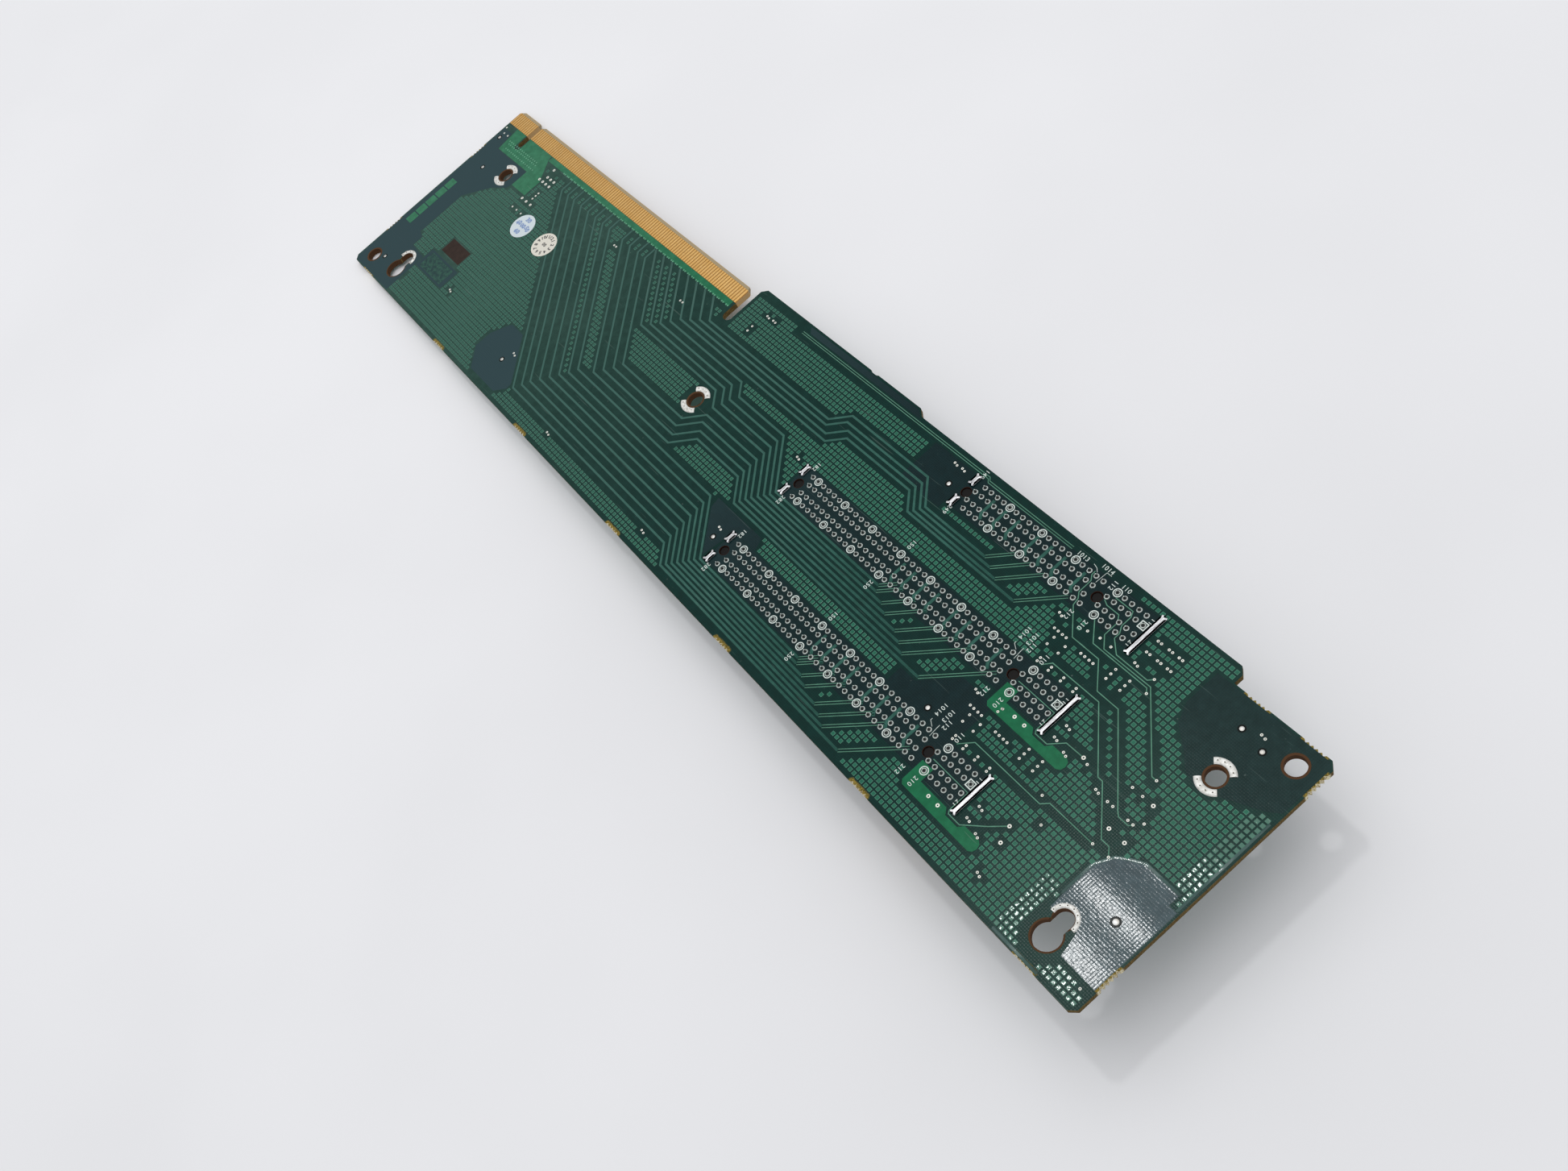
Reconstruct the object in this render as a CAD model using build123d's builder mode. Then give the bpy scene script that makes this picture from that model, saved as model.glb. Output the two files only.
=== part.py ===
from build123d import *
from math import cos, radians, sin
import os

# Riser card, lying with its solder side up on the mouths of its three card slots.
# The origin is in the middle of the board's length and width, level with the slot mouths.
# +X runs towards contact 1 of every slot, +Y towards the gold edge, +Z out of the solder side.

os.makedirs("parts", exist_ok=True)

# Board
board_length = 310.0
board_thickness = 1.6
first_slot_rise = 15.25  # plain long edge to the middle of slot 1
last_slot_drop = 8.53  # middle of slot 3 to the edge of the proud shoulder
edge_drop = 1.45  # shoulder edge to the edge above slot 3
step_drop = 5.0  # shoulder edge to the edge of the stepped end
step_length = 24.4
corner_cut = 1.4
shoulder_slope = 2.1  # how far the end of the shoulder slopes along the board

# Slots: slot 1 lies by the plain long edge, slot 3 by the gold edge
slot_contacts = (82, 82, 49)
slot_pitch = 22.86
slot_height = 11.25
contact_pitch = 1.0
contacts_before_key = 11
key_step = 3.0  # centre to centre of the two contacts beside a key
contact_one_inset = 45.7  # contact 1 to the stepped end of the board
housing_width = 7.5
housing_end = 3.0  # past the centres of the first and last contacts
housing_cut = 0.5
card_slot_width = 1.8
card_slot_depth = 8.6
card_slot_end = 1.0  # past the centres of the first and last contacts
key_rib = 1.7
lead_in = 0.8
groove_depth = 0.45
groove_start = 1.3
groove_height = 6.4
groove_inset = 0.3
waist_depth = 0.35
waist_height = 5.2
end_block = 4.5

# Pegs that locate each housing in the board
peg_radius = 1.1
peg_sides = 8
peg_clearance = 0.08
peg_hole_sides = 16
peg_recess = 0.3
peg_beyond = 1.65  # past the centre of the last contact

# Spring contacts and their solder joints
contact_width = 0.5
contact_reach = 0.35
contact_heel = 0.2
inner_row = 1.25
outer_row = 3.25
joint_base = 1.1
joint_height = 0.9

# Raised solder bars past both ends of the contact rows
long_bar_offset = 1.95
long_bar_length = 10.4
long_bar_width = 1.25
short_bar_offsets = (3.1, 3.1, 2.2)  # for slots 1, 2 and 3
short_bar_length = 2.8
short_bar_width = 1.4
bar_height = 0.45

# Tongue with the edge fingers
finger_count = 120
finger_pitch = 1.0
fingers_before_key = 11
finger_width = 0.7
finger_length = 4.5
finger_thickness = 0.05
finger_margin = 0.65
tip_drop = 2.2  # shoulder edge to the tongue's tip
key_notch_width = 2.0
key_notch_depth = 9.5
key_notch_cut = 0.8
bevel_run = 1.0
bevel_depth = 0.4
gap_width = 3.0
gap_depth = 10.6
shoulder_length = 64.0
nick_inset = 45.0  # shoulder's gap end to the shallow nick in its edge
nick_length = 2.8
nick_depth = 0.3

# Mounting holes and their bare soldered pads
screw_hole_radius = 2.0
end_screw_rise = 48.7
left_screw_inset = 18.6
right_screw_inset = 13.8
middle_screw_inset = 138.1
middle_screw_rise = 36.65
plain_hole_radius = 2.1
left_plain_inset = 5.5
left_plain_rise = 5.0
right_plain_inset = 5.2
right_plain_rise = 59.6
keyhole_entry_radius = 3.0
keyhole_neck_radius = 2.0
keyhole_entry_rise = 6.65
keyhole_travel = 4.2
left_keyhole_inset = 17.6
right_keyhole_inset = 13.6
pad_thickness = 0.1
pad_step = 15.0  # degrees between the corners of a pad's arcs
crescent_gap = 0.45  # from the hole's wall to the pad
crescent_width = 1.5
crescent_sweep = 102.0
keyhole_pad_gap = 0.12
keyhole_pad_width = 1.0
keyhole_pad_sweep = 200.0

# Scars where the board was broken out of its panel
bite_count = 5
bite_pitch = 1.0
bite_radius = 0.5
low_edge_scars = (9.8, 56.8, 104.3, 151.6, 198.8, 248.3, 297.3)
left_edge_scars = (15.6, 49.0)
right_edge_scars = (9.0, 59.3)
step_edge_scars = (5.2, 18.6)

# Stickers
sticker_diameter = 8.2
sticker_sides = 24
sticker_thickness = 0.1
sticker_rise = 40.65
sticker_inset = 42.0  # left end of the board to the middle of the white one
sticker_gap = 4.4

# Capacitors under the board, beside contact 1 of each slot
capacitor_drop = 10.4
bulk_size = (7.3, 4.3, 2.9)
bulk_offset = -7.0
terminal_width = 2.4
terminal_proud = 0.12
terminal_height = 1.5
body_draft = 5.0
ceramic_size = (3.2, 2.5, 1.6)
ceramic_offset = 4.8
end_cap = 0.5
end_cap_proud = 0.04

# Levels and edges worked out from the sizes above
board_width = first_slot_rise + (len(slot_contacts) - 1) * slot_pitch + last_slot_drop
left_edge = -board_length / 2
right_edge = board_length / 2
low_edge = -board_width / 2
shoulder_edge = board_width / 2
under_face = slot_height
solder_face = slot_height + board_thickness
contact_one_x = right_edge - contact_one_inset
tongue_tip = shoulder_edge - tip_drop
bevel_start = tongue_tip - bevel_run


def contact_x(number):
    past_key = number > contacts_before_key
    return contact_one_x - (number - 1) * contact_pitch - past_key * (key_step - contact_pitch)


def finger_x(number):
    past_key = number > fingers_before_key
    along = (number - 1) * finger_pitch + past_key * (key_step - finger_pitch)
    return left_edge + finger_margin + along


def slot_middle(number):
    return low_edge + first_slot_rise + (number - 1) * slot_pitch


def peg_places(count, middle):
    key_x = contact_x(contacts_before_key) - key_step / 2
    return [(key_x, middle), (contact_x(count) - peg_beyond, middle)]


def corner(sketch, x, y):
    return sketch.vertices().sort_by_distance((x, y))[0]


def arc_band(centre, radius, width, direction, sweep):
    """Corners of a flat band along an arc, with blunt points at both of its ends."""
    steps = round(sweep / pad_step)
    angles = [direction - sweep / 2 + sweep * step / steps for step in range(steps + 1)]
    point_angle = sweep / 2 + pad_step / 2
    corners = [(radius + width / 2, angle) for angle in angles]
    corners += [(radius, direction + point_angle)]
    corners += [(radius - width / 2, angle) for angle in reversed(angles)]
    corners += [(radius, direction - point_angle)]
    return [
        (centre[0] + reach * cos(radians(angle)), centre[1] + reach * sin(radians(angle)))
        for reach, angle in corners
    ]


tongue_end = finger_x(finger_count) + finger_margin
shoulder_start = tongue_end + gap_width
shoulder_end = shoulder_start + shoulder_length
nick_x = shoulder_start + nick_inset
key_notch_x = finger_x(fingers_before_key) + key_step / 2
step_x = right_edge - step_length

screw_holes = {
    "left": (left_edge + left_screw_inset, low_edge + end_screw_rise),
    "middle": (left_edge + middle_screw_inset, low_edge + middle_screw_rise),
    "right": (right_edge - right_screw_inset, low_edge + end_screw_rise),
}
plain_holes = [
    (left_edge + left_plain_inset, low_edge + left_plain_rise),
    (right_edge - right_plain_inset, low_edge + right_plain_rise),
]
keyholes = {
    "left": (left_edge + left_keyhole_inset, low_edge + keyhole_entry_rise),
    "right": (right_edge - right_keyhole_inset, low_edge + keyhole_entry_rise),
}

# One scar: the bites of a broken row of perforations
with BuildSketch() as scar:
    with GridLocations(bite_pitch, 0, bite_count, 1):
        RegularPolygon(radius=bite_radius, side_count=4)

# One keyhole, its wide entry at the origin and its neck towards +Y
with BuildSketch() as keyhole:
    Circle(keyhole_entry_radius)
    with Locations((0, keyhole_travel / 2)):
        Rectangle(2 * keyhole_neck_radius, keyhole_travel)
    with Locations((0, keyhole_travel)):
        Circle(keyhole_neck_radius)

# Printed circuit board
with BuildPart() as board:
    with BuildSketch(Plane.XY.offset(under_face)) as outline:
        with BuildLine():
            Polyline(
                (left_edge, low_edge),
                (right_edge, low_edge),
                (right_edge, shoulder_edge - step_drop),
                (step_x, shoulder_edge - step_drop),
                (step_x, shoulder_edge - edge_drop),
                (shoulder_end, shoulder_edge - edge_drop),
                (shoulder_end - shoulder_slope, shoulder_edge),
                (nick_x + nick_length / 2, shoulder_edge),
                (nick_x + nick_length / 4, shoulder_edge - nick_depth),
                (nick_x - nick_length / 4, shoulder_edge - nick_depth),
                (nick_x - nick_length / 2, shoulder_edge),
                (shoulder_start, shoulder_edge),
                (shoulder_start, tongue_tip - gap_depth),
                (tongue_end, tongue_tip - gap_depth),
                (tongue_end, tongue_tip),
                (left_edge, tongue_tip),
                close=True,
            )
        make_face()
        with Locations((key_notch_x, tongue_tip - key_notch_depth / 2)):
            Rectangle(key_notch_width, key_notch_depth, mode=Mode.SUBTRACT)
        outer_corners = [
            corner(outline, left_edge, low_edge),
            corner(outline, right_edge, low_edge),
            corner(outline, right_edge, shoulder_edge - step_drop),
            corner(outline, step_x, shoulder_edge - edge_drop),
            corner(outline, shoulder_start, shoulder_edge),
            corner(outline, tongue_end, tongue_tip),
            corner(outline, left_edge, tongue_tip),
        ]
        chamfer(outer_corners, length=corner_cut)
        notch_mouth = [
            corner(outline, key_notch_x - key_notch_width / 2, tongue_tip),
            corner(outline, key_notch_x + key_notch_width / 2, tongue_tip),
        ]
        chamfer(notch_mouth, length=key_notch_cut)
        gap_floor = [
            corner(outline, tongue_end, tongue_tip - gap_depth),
            corner(outline, shoulder_start, tongue_tip - gap_depth),
        ]
        fillet(gap_floor, radius=0.45 * gap_width)
        notch_floor = [
            corner(outline, key_notch_x - key_notch_width / 2, tongue_tip - key_notch_depth),
            corner(outline, key_notch_x + key_notch_width / 2, tongue_tip - key_notch_depth),
        ]
        fillet(notch_floor, radius=0.45 * key_notch_width)
        with Locations(*screw_holes.values()):
            Circle(screw_hole_radius, mode=Mode.SUBTRACT)
        with Locations(*plain_holes):
            Circle(plain_hole_radius, mode=Mode.SUBTRACT)
        with Locations(*keyholes.values()):
            add(keyhole.sketch, mode=Mode.SUBTRACT)
        for number, count in enumerate(slot_contacts, start=1):
            with Locations(*peg_places(count, slot_middle(number))):
                RegularPolygon(peg_radius + peg_clearance, peg_hole_sides, mode=Mode.SUBTRACT)
        with Locations(*[(left_edge + along, low_edge) for along in low_edge_scars]):
            add(scar.sketch, mode=Mode.SUBTRACT)
        step_edge = shoulder_edge - step_drop
        with Locations(*[(right_edge - along, step_edge) for along in step_edge_scars]):
            add(scar.sketch, mode=Mode.SUBTRACT)
        left_scars = [(left_edge, low_edge + rise) for rise in left_edge_scars]
        right_scars = [(right_edge, low_edge + rise) for rise in right_edge_scars]
        with Locations(*[Location(place + (0,), (0, 0, 90)) for place in left_scars + right_scars]):
            add(scar.sketch, mode=Mode.SUBTRACT)
    extrude(amount=board_thickness)
    # Both faces of the tongue run down to its tip
    bevel_length = tongue_end + gap_width / 2 - left_edge + corner_cut
    with BuildSketch(Plane.YZ.offset(left_edge - corner_cut)):
        with BuildLine():
            Polyline(
                (bevel_start, solder_face),
                (tongue_tip + bevel_run, solder_face),
                (tongue_tip + bevel_run, solder_face - 2 * bevel_depth),
                close=True,
            )
        make_face()
        with BuildLine():
            Polyline(
                (bevel_start, under_face),
                (tongue_tip + bevel_run, under_face),
                (tongue_tip + bevel_run, under_face + 2 * bevel_depth),
                close=True,
            )
        make_face()
    extrude(amount=bevel_length, mode=Mode.SUBTRACT)
board.part.label = "printed_circuit_board"
export_step(board.part, "parts/printed_circuit_board.step")

# Gold edge fingers, one row on each face of the tongue
finger_places = [
    (finger_x(number), bevel_start - finger_length / 2) for number in range(1, finger_count + 1)
]
for face_name, level in (("solder", solder_face), ("component", under_face - finger_thickness)):
    with BuildPart() as fingers:
        with BuildSketch(Plane.XY.offset(level)):
            with Locations(*finger_places):
                Rectangle(finger_width, finger_length)
        extrude(amount=finger_thickness)
    fingers.part.label = f"edge_fingers_{face_name}_side"
    export_step(fingers.part, f"parts/edge_fingers_{face_name}_side.step")

# Bare soldered pads on both faces: two crescents beside each screw hole
pad_levels = (solder_face, under_face - pad_thickness)
crescent_radius = screw_hole_radius + crescent_gap + crescent_width / 2
for place_name, place in screw_holes.items():
    with BuildPart() as crescents:
        for level in pad_levels:
            for direction in (90, -90):
                with BuildSketch(Plane.XY.offset(level)):
                    with BuildLine():
                        band = arc_band(
                            place, crescent_radius, crescent_width, direction, crescent_sweep
                        )
                        Polyline(*band, close=True)
                    make_face()
                extrude(amount=pad_thickness)
    crescents.part.label = f"{place_name}_screw_hole_pads"
    export_step(crescents.part, f"parts/{place_name}_screw_hole_pads.step")

# One arc round the neck of each keyhole, on both faces
neck_pad_radius = keyhole_neck_radius + keyhole_pad_gap + keyhole_pad_width / 2
for place_name, (entry_x, entry_y) in keyholes.items():
    neck = (entry_x, entry_y + keyhole_travel)
    with BuildPart() as neck_pads:
        for level in pad_levels:
            with BuildSketch(Plane.XY.offset(level)):
                with BuildLine():
                    band = arc_band(neck, neck_pad_radius, keyhole_pad_width, 90, keyhole_pad_sweep)
                    Polyline(*band, close=True)
                make_face()
            extrude(amount=pad_thickness)
    neck_pads.part.label = f"{place_name}_keyhole_pads"
    export_step(neck_pads.part, f"parts/{place_name}_keyhole_pads.step")

# Round paper stickers
stickers = {"white": sticker_inset, "cream": sticker_inset + sticker_diameter + sticker_gap}
for sticker_name, inset in stickers.items():
    with BuildPart() as sticker:
        with BuildSketch(Plane.XY.offset(solder_face)):
            with Locations((left_edge + inset, low_edge + sticker_rise)):
                RegularPolygon(sticker_diameter / 2, sticker_sides)
        extrude(amount=sticker_thickness)
    sticker.part.label = f"{sticker_name}_sticker"
    export_step(sticker.part, f"parts/{sticker_name}_sticker.step")

# One solder joint, a cone with four flats drawn out to the tip of its tail
with BuildPart() as joint:
    with BuildSketch():
        Rectangle(joint_base, joint_base)
    loft(sections=[joint.pending_faces[0], Vertex(0, 0, joint_height)])

# The three slots
key_x = contact_x(contacts_before_key) - key_step / 2
for number, count in enumerate(slot_contacts, start=1):
    middle = slot_middle(number)
    last_x = contact_x(count)
    housing_middle = (contact_one_x + last_x) / 2
    housing_length = contact_one_x - last_x + 2 * housing_end
    near_run = (key_x + key_rib / 2, contact_one_x + card_slot_end)
    far_run = (last_x - card_slot_end, key_x - key_rib / 2)

    with BuildPart() as housing:
        with BuildSketch():
            with Locations((housing_middle, middle)):
                Rectangle(housing_length, housing_width)
        extrude(amount=slot_height)
        chamfer(housing.edges().filter_by(Axis.Z), length=housing_cut)
        chamfer(housing.faces().sort_by(Axis.Z)[0].edges(), length=housing_cut)
        # Both long sides draw in between the end blocks
        with BuildSketch(Plane.XY.offset(slot_height - waist_height)):
            for side in (1, -1):
                with Locations((housing_middle, middle + side * housing_width / 2)):
                    Rectangle(housing_length - 2 * end_block, 2 * waist_depth)
        extrude(amount=waist_height, mode=Mode.SUBTRACT)
        # Card slot, in two runs either side of the key rib
        with BuildSketch():
            for start, end in (near_run, far_run):
                with Locations(((start + end) / 2, middle)):
                    Rectangle(end - start, card_slot_width)
        extrude(amount=card_slot_depth, mode=Mode.SUBTRACT)
        with BuildSketch():
            mouth_length = near_run[1] - far_run[0]
            with Locations(((near_run[1] + far_run[0]) / 2, middle)):
                Rectangle(mouth_length + 2 * lead_in, card_slot_width + 2 * lead_in)
        extrude(amount=lead_in, taper=45, mode=Mode.SUBTRACT)
        # Grooves that hold the backs of the contacts
        with BuildSketch(Plane.XY.offset(groove_start)):
            for start, end in (near_run, far_run):
                with Locations(((start + end) / 2, middle)):
                    Rectangle(end - start - 2 * groove_inset, card_slot_width + 2 * groove_depth)
        extrude(amount=groove_height, mode=Mode.SUBTRACT)
        # Pegs, their ends short of the solder face
        with BuildSketch(Plane.XY.offset(slot_height)):
            with Locations(*peg_places(count, middle)):
                RegularPolygon(peg_radius, peg_sides)
        extrude(amount=board_thickness - peg_recess)
    housing.part.label = f"slot_{number}_housing"
    export_step(housing.part, f"parts/slot_{number}_housing.step")

    for row_name, side in (("a", 1), ("b", -1)):
        back = middle + side * (card_slot_width / 2 + groove_depth)
        crest = middle + side * (card_slot_width / 2 - contact_reach)
        low = groove_start + contact_heel
        high = groove_start + groove_height - contact_heel
        with BuildPart() as contact:
            with BuildSketch(Plane.YZ.offset(-contact_width / 2)):
                with BuildLine():
                    Polyline((back, low), (back, high), (crest, low + (high - low) / 3), close=True)
                make_face()
            extrude(amount=contact_width)
        with BuildPart() as contacts:
            with Locations(*[(contact_x(index), 0) for index in range(1, count + 1)]):
                add(contact.part)
        contacts.part.label = f"slot_{number}_contacts_{row_name}"
        export_step(contacts.part, f"parts/slot_{number}_contacts_{row_name}.step")

    joint_places = []
    for index in range(1, count + 1):
        row = outer_row if index % 2 == 0 else inner_row
        joint_places += [(contact_x(index), middle + row, solder_face)]
        joint_places += [(contact_x(index), middle - row, solder_face)]
    with BuildPart() as joints:
        with Locations(*joint_places):
            add(joint.part)
    joints.part.label = f"slot_{number}_solder_joints"
    export_step(joints.part, f"parts/slot_{number}_solder_joints.step")

    with BuildPart() as bars:
        with BuildSketch(Plane.XY.offset(solder_face)):
            with Locations((contact_one_x + long_bar_offset, middle)):
                Rectangle(long_bar_width, long_bar_length)
            short_x = last_x - short_bar_offsets[number - 1]
            with Locations((short_x, middle + outer_row), (short_x, middle - outer_row)):
                Rectangle(short_bar_width, short_bar_length)
        extrude(amount=bar_height)
        top_edges = bars.edges().filter_by(Axis.Y).group_by(Axis.Z)[-1]
        chamfer(top_edges, length=bar_height / 2)
    bars.part.label = f"slot_{number}_solder_bars"
    export_step(bars.part, f"parts/slot_{number}_solder_bars.step")

    capacitor_y = middle - capacitor_drop
    with BuildPart() as bulk:
        length, width, height = bulk_size
        with BuildSketch(Plane.XY.offset(under_face)):
            with Locations((contact_one_x + bulk_offset, capacitor_y)):
                Rectangle(length, width)
        extrude(amount=-height, taper=body_draft)
        with BuildSketch(Plane.XY.offset(under_face)):
            with Locations((contact_one_x + bulk_offset, capacitor_y)):
                Rectangle(length + 2 * terminal_proud, terminal_width)
        extrude(amount=-terminal_height)
    bulk.part.label = f"slot_{number}_bulk_capacitor"
    export_step(bulk.part, f"parts/slot_{number}_bulk_capacitor.step")

    with BuildPart() as ceramic:
        length, width, height = ceramic_size
        with BuildSketch(Plane.XY.offset(under_face)):
            with Locations((contact_one_x + ceramic_offset, capacitor_y)):
                Rectangle(length - 2 * end_cap, width)
        extrude(amount=-height)
        with BuildSketch(Plane.XY.offset(under_face)):
            for side in (1, -1):
                cap_x = contact_one_x + ceramic_offset + side * (length - end_cap) / 2
                with Locations((cap_x, capacitor_y)):
                    Rectangle(end_cap, width + 2 * end_cap_proud)
        extrude(amount=-height - end_cap_proud)
    ceramic.part.label = f"slot_{number}_ceramic_capacitor"
    export_step(ceramic.part, f"parts/slot_{number}_ceramic_capacitor.step")
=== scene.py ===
"""Riser card: looks of its board, solder, print and connectors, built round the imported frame."""

import math

import bmesh
import bpy
import numpy as np
from mathutils import Matrix, Vector


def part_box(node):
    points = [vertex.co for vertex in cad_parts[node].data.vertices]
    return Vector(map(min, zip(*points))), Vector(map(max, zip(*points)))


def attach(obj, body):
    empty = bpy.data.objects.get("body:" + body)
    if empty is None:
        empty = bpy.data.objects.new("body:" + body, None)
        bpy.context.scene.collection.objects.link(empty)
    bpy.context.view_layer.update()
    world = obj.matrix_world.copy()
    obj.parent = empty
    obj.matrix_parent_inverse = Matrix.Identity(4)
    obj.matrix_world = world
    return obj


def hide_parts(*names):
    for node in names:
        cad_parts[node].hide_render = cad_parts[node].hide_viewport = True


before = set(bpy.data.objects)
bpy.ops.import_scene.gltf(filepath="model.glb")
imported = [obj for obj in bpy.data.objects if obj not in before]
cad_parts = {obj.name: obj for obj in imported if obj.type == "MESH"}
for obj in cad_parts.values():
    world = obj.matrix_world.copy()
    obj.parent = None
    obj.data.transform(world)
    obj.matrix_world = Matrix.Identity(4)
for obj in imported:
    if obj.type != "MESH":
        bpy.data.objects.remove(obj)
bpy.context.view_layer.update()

bl_info = {
    "name": "Riser card",
    "version": (1, 0, 0),
    "blender": (4, 5, 0),
    "location": "View3D > Sidebar > Riser card",
    "description": "Builds the finish and the fine pieces of a riser card",
    "category": "Object",
}

MM = 0.001

# Thickness of a darker pane of mask, and of a sticker's print
SKIN = 0.008 * MM

# The board's two faces, and the plan's zero: contact 1 of slot 1, on its outer row
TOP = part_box("printed_circuit_board")[1].z
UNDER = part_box("printed_circuit_board")[0].z
PLAN_X = 109.3
PLAN_Y = -16.25

# Contact rows in plan millimetres
SLOT_COUNTS = (82, 82, 49)
SLOT_MIDDLES = (-3.25, 19.61, 42.47)
SHORT_BAR_OFFSETS = (3.1, 3.1, 2.2)
BEFORE_KEY = 11
PAST_KEY = 2.0
INNER_ROW = 1.25
OUTER_ROW = 3.25
SLOT_PITCH = SLOT_MIDDLES[1] - SLOT_MIDDLES[0]


def plan(x, y, level=TOP):
    """A place on the board, given in plan millimetres."""
    return Vector(((x + PLAN_X) * MM, (y + PLAN_Y) * MM, level))


def contact_x(number):
    return -(number - 1) - PAST_KEY * (number > BEFORE_KEY)


def linear(red, green, blue):
    """A colour as it looks on a screen, 0 to 255, in the shader's own scale."""
    shares = [value / 255 for value in (red, green, blue)]
    return tuple(
        s / 12.92 if s <= 0.04045 else ((s + 0.055) / 1.055) ** 2.4 for s in shares
    ) + (1.0,)


# Sizes and colours


def length(name, description, millimetres):
    return bpy.props.FloatProperty(
        name=name,
        description=description,
        default=millimetres * MM,
        min=0.0,
        precision=5,
        unit="LENGTH",
    )


def tint(name, description, red, green, blue):
    return bpy.props.FloatVectorProperty(
        name=name,
        description=description,
        default=linear(red, green, blue),
        min=0.0,
        max=1.0,
        size=4,
        subtype="COLOR",
    )


class RiserSizes(bpy.types.PropertyGroup):
    square_pitch: length("Square pitch", "Spacing of the copper squares", 1.27)
    square_size: length("Square size", "Side of one copper square", 0.86)
    copper_rise: length("Copper rise", "How far copper lifts the mask", 0.03)
    trace_width: length("Trace width", "Width of a pair of bus traces", 0.62)
    thin_width: length("Thin trace width", "Width of a single trace", 0.24)
    link_width: length("Link width", "Width of a trace between the contact rows", 0.8)
    copper_gap: length("Copper gap", "From a trace to the middle of a square", 1.26)
    via_radius: length("Via radius", "Outside of a small via", 0.3)
    via_hole: length("Via hole", "Radius of a small via's hole", 0.13)
    print_rise: length("Print rise", "Thickness of the white print", 0.058)
    digit_height: length("Digit height", "Height of the printed numbers", 1.1)


class RiserColours(bpy.types.PropertyGroup):
    ground: tint("Ground", "Mask over bare laminate between traces", 3, 39, 35)
    dark: tint("Dark zones", "Mask where no layer has copper", 9, 31, 34)
    copper: tint("Copper", "Mask over the copper squares", 38, 98, 78)
    trace: tint("Traces", "Mask over the bus traces", 52, 94, 84)
    fine: tint("Fine traces", "Mask over the single traces", 92, 140, 118)
    plane: tint("Planes", "Mask over the broad copper planes", 24, 100, 66)
    window: tint("Window", "Bare laminate seen through the brown window", 50, 32, 28)
    laminate: tint("Laminate", "Bare edges and rims of the board", 124, 104, 62)
    gold: tint("Gold", "Edge fingers", 212, 168, 98)
    dots: tint("Dots", "Bright alignment dots", 190, 190, 188)
    tin: tint("Tin", "Tinned vias", 232, 232, 222)
    ink: tint("Ink", "White print on the board", 206, 216, 210)
    white_paper: tint("White paper", "White sticker", 200, 210, 214)
    cream_paper: tint("Cream paper", "Cream sticker", 214, 210, 198)
    marks: tint("Sticker marks", "Dark print on the cream sticker", 40, 40, 44)
    pale_marks: tint("Pale marks", "Bluish print on the white sticker", 104, 130, 176)
    plastic: tint("Plastic", "Slot housings", 26, 26, 28)
    floor: tint("Floor", "Floor and backdrop", 230, 230, 232)


# Node helpers


def feed(tree, made, inputs):
    """Links every input that is given a socket, and sets the others."""
    for key, value in inputs.items():
        if isinstance(value, bpy.types.NodeSocket):
            tree.links.new(value, made.inputs[key])
        else:
            made.inputs[key].default_value = value
    return made


def put(tree, kind, inputs=None, **settings):
    """Adds one node with its settings and inputs."""
    made = tree.nodes.new("ShaderNode" + kind)
    for key, value in settings.items():
        setattr(made, key, value)
    return feed(tree, made, inputs or {})


def maths(tree, operation, *values):
    return put(tree, "Math", dict(enumerate(values)), operation=operation).outputs[0]


def times(tree, first, second):
    return maths(tree, "MULTIPLY", first, second)


def plus(tree, first, second):
    return maths(tree, "ADD", first, second)


def scaled(tree, value, factor, offset):
    """The value times a factor, plus an offset."""
    return maths(tree, "MULTIPLY_ADD", value, factor, offset)


def highest(tree, values):
    """The largest of several values at each point."""
    total = values[0]
    for value in values[1:]:
        total = maths(tree, "MAXIMUM", total, value)
    return total


def within(tree, value, low, high):
    """One where a value lies between two limits, and zero elsewhere."""
    above = maths(tree, "GREATER_THAN", value, low)
    return times(tree, above, maths(tree, "LESS_THAN", value, high))


def vector(tree, operation, *values):
    made = put(tree, "VectorMath", dict(enumerate(values)), operation=operation)
    return made.outputs["Value" if operation in ("LENGTH", "DISTANCE") else "Vector"]


def blend(tree, share, first, second, mode="MIX"):
    made = put(tree, "Mix", {0: share, 6: first, 7: second}, data_type="RGBA", blend_type=mode)
    return made.outputs[2]


def between(tree, value, low, high, out_low=0.0, out_high=1.0):
    inputs = {0: value, 1: low, 2: high, 3: out_low, 4: out_high}
    return put(tree, "MapRange", inputs, interpolation_type="SMOOTHSTEP").outputs[0]


def noise(tree, place, scale, detail=3.0, roughness=0.55):
    inputs = {"Vector": place, "Scale": scale, "Detail": detail, "Roughness": roughness}
    return put(tree, "TexNoise", inputs).outputs["Fac"]


def split(tree, place):
    return put(tree, "SeparateXYZ", {0: place}).outputs


def join(tree, x, y, z=0.0):
    return put(tree, "CombineXYZ", {0: x, 1: y, 2: z}).outputs[0]


def new_group(name, inputs, outputs):
    tree = bpy.data.node_groups.new(name, "ShaderNodeTree")
    for socket_name, kind in inputs:
        tree.interface.new_socket(socket_name, in_out="INPUT", socket_type="NodeSocket" + kind)
    for socket_name, kind in outputs:
        tree.interface.new_socket(socket_name, in_out="OUTPUT", socket_type="NodeSocket" + kind)
    return tree, tree.nodes.new("NodeGroupInput").outputs, tree.nodes.new("NodeGroupOutput").inputs


def use_group(tree, name, inputs):
    made = tree.nodes.new("ShaderNodeGroup")
    made.node_tree = bpy.data.node_groups[name]
    return feed(tree, made, inputs).outputs


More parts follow.
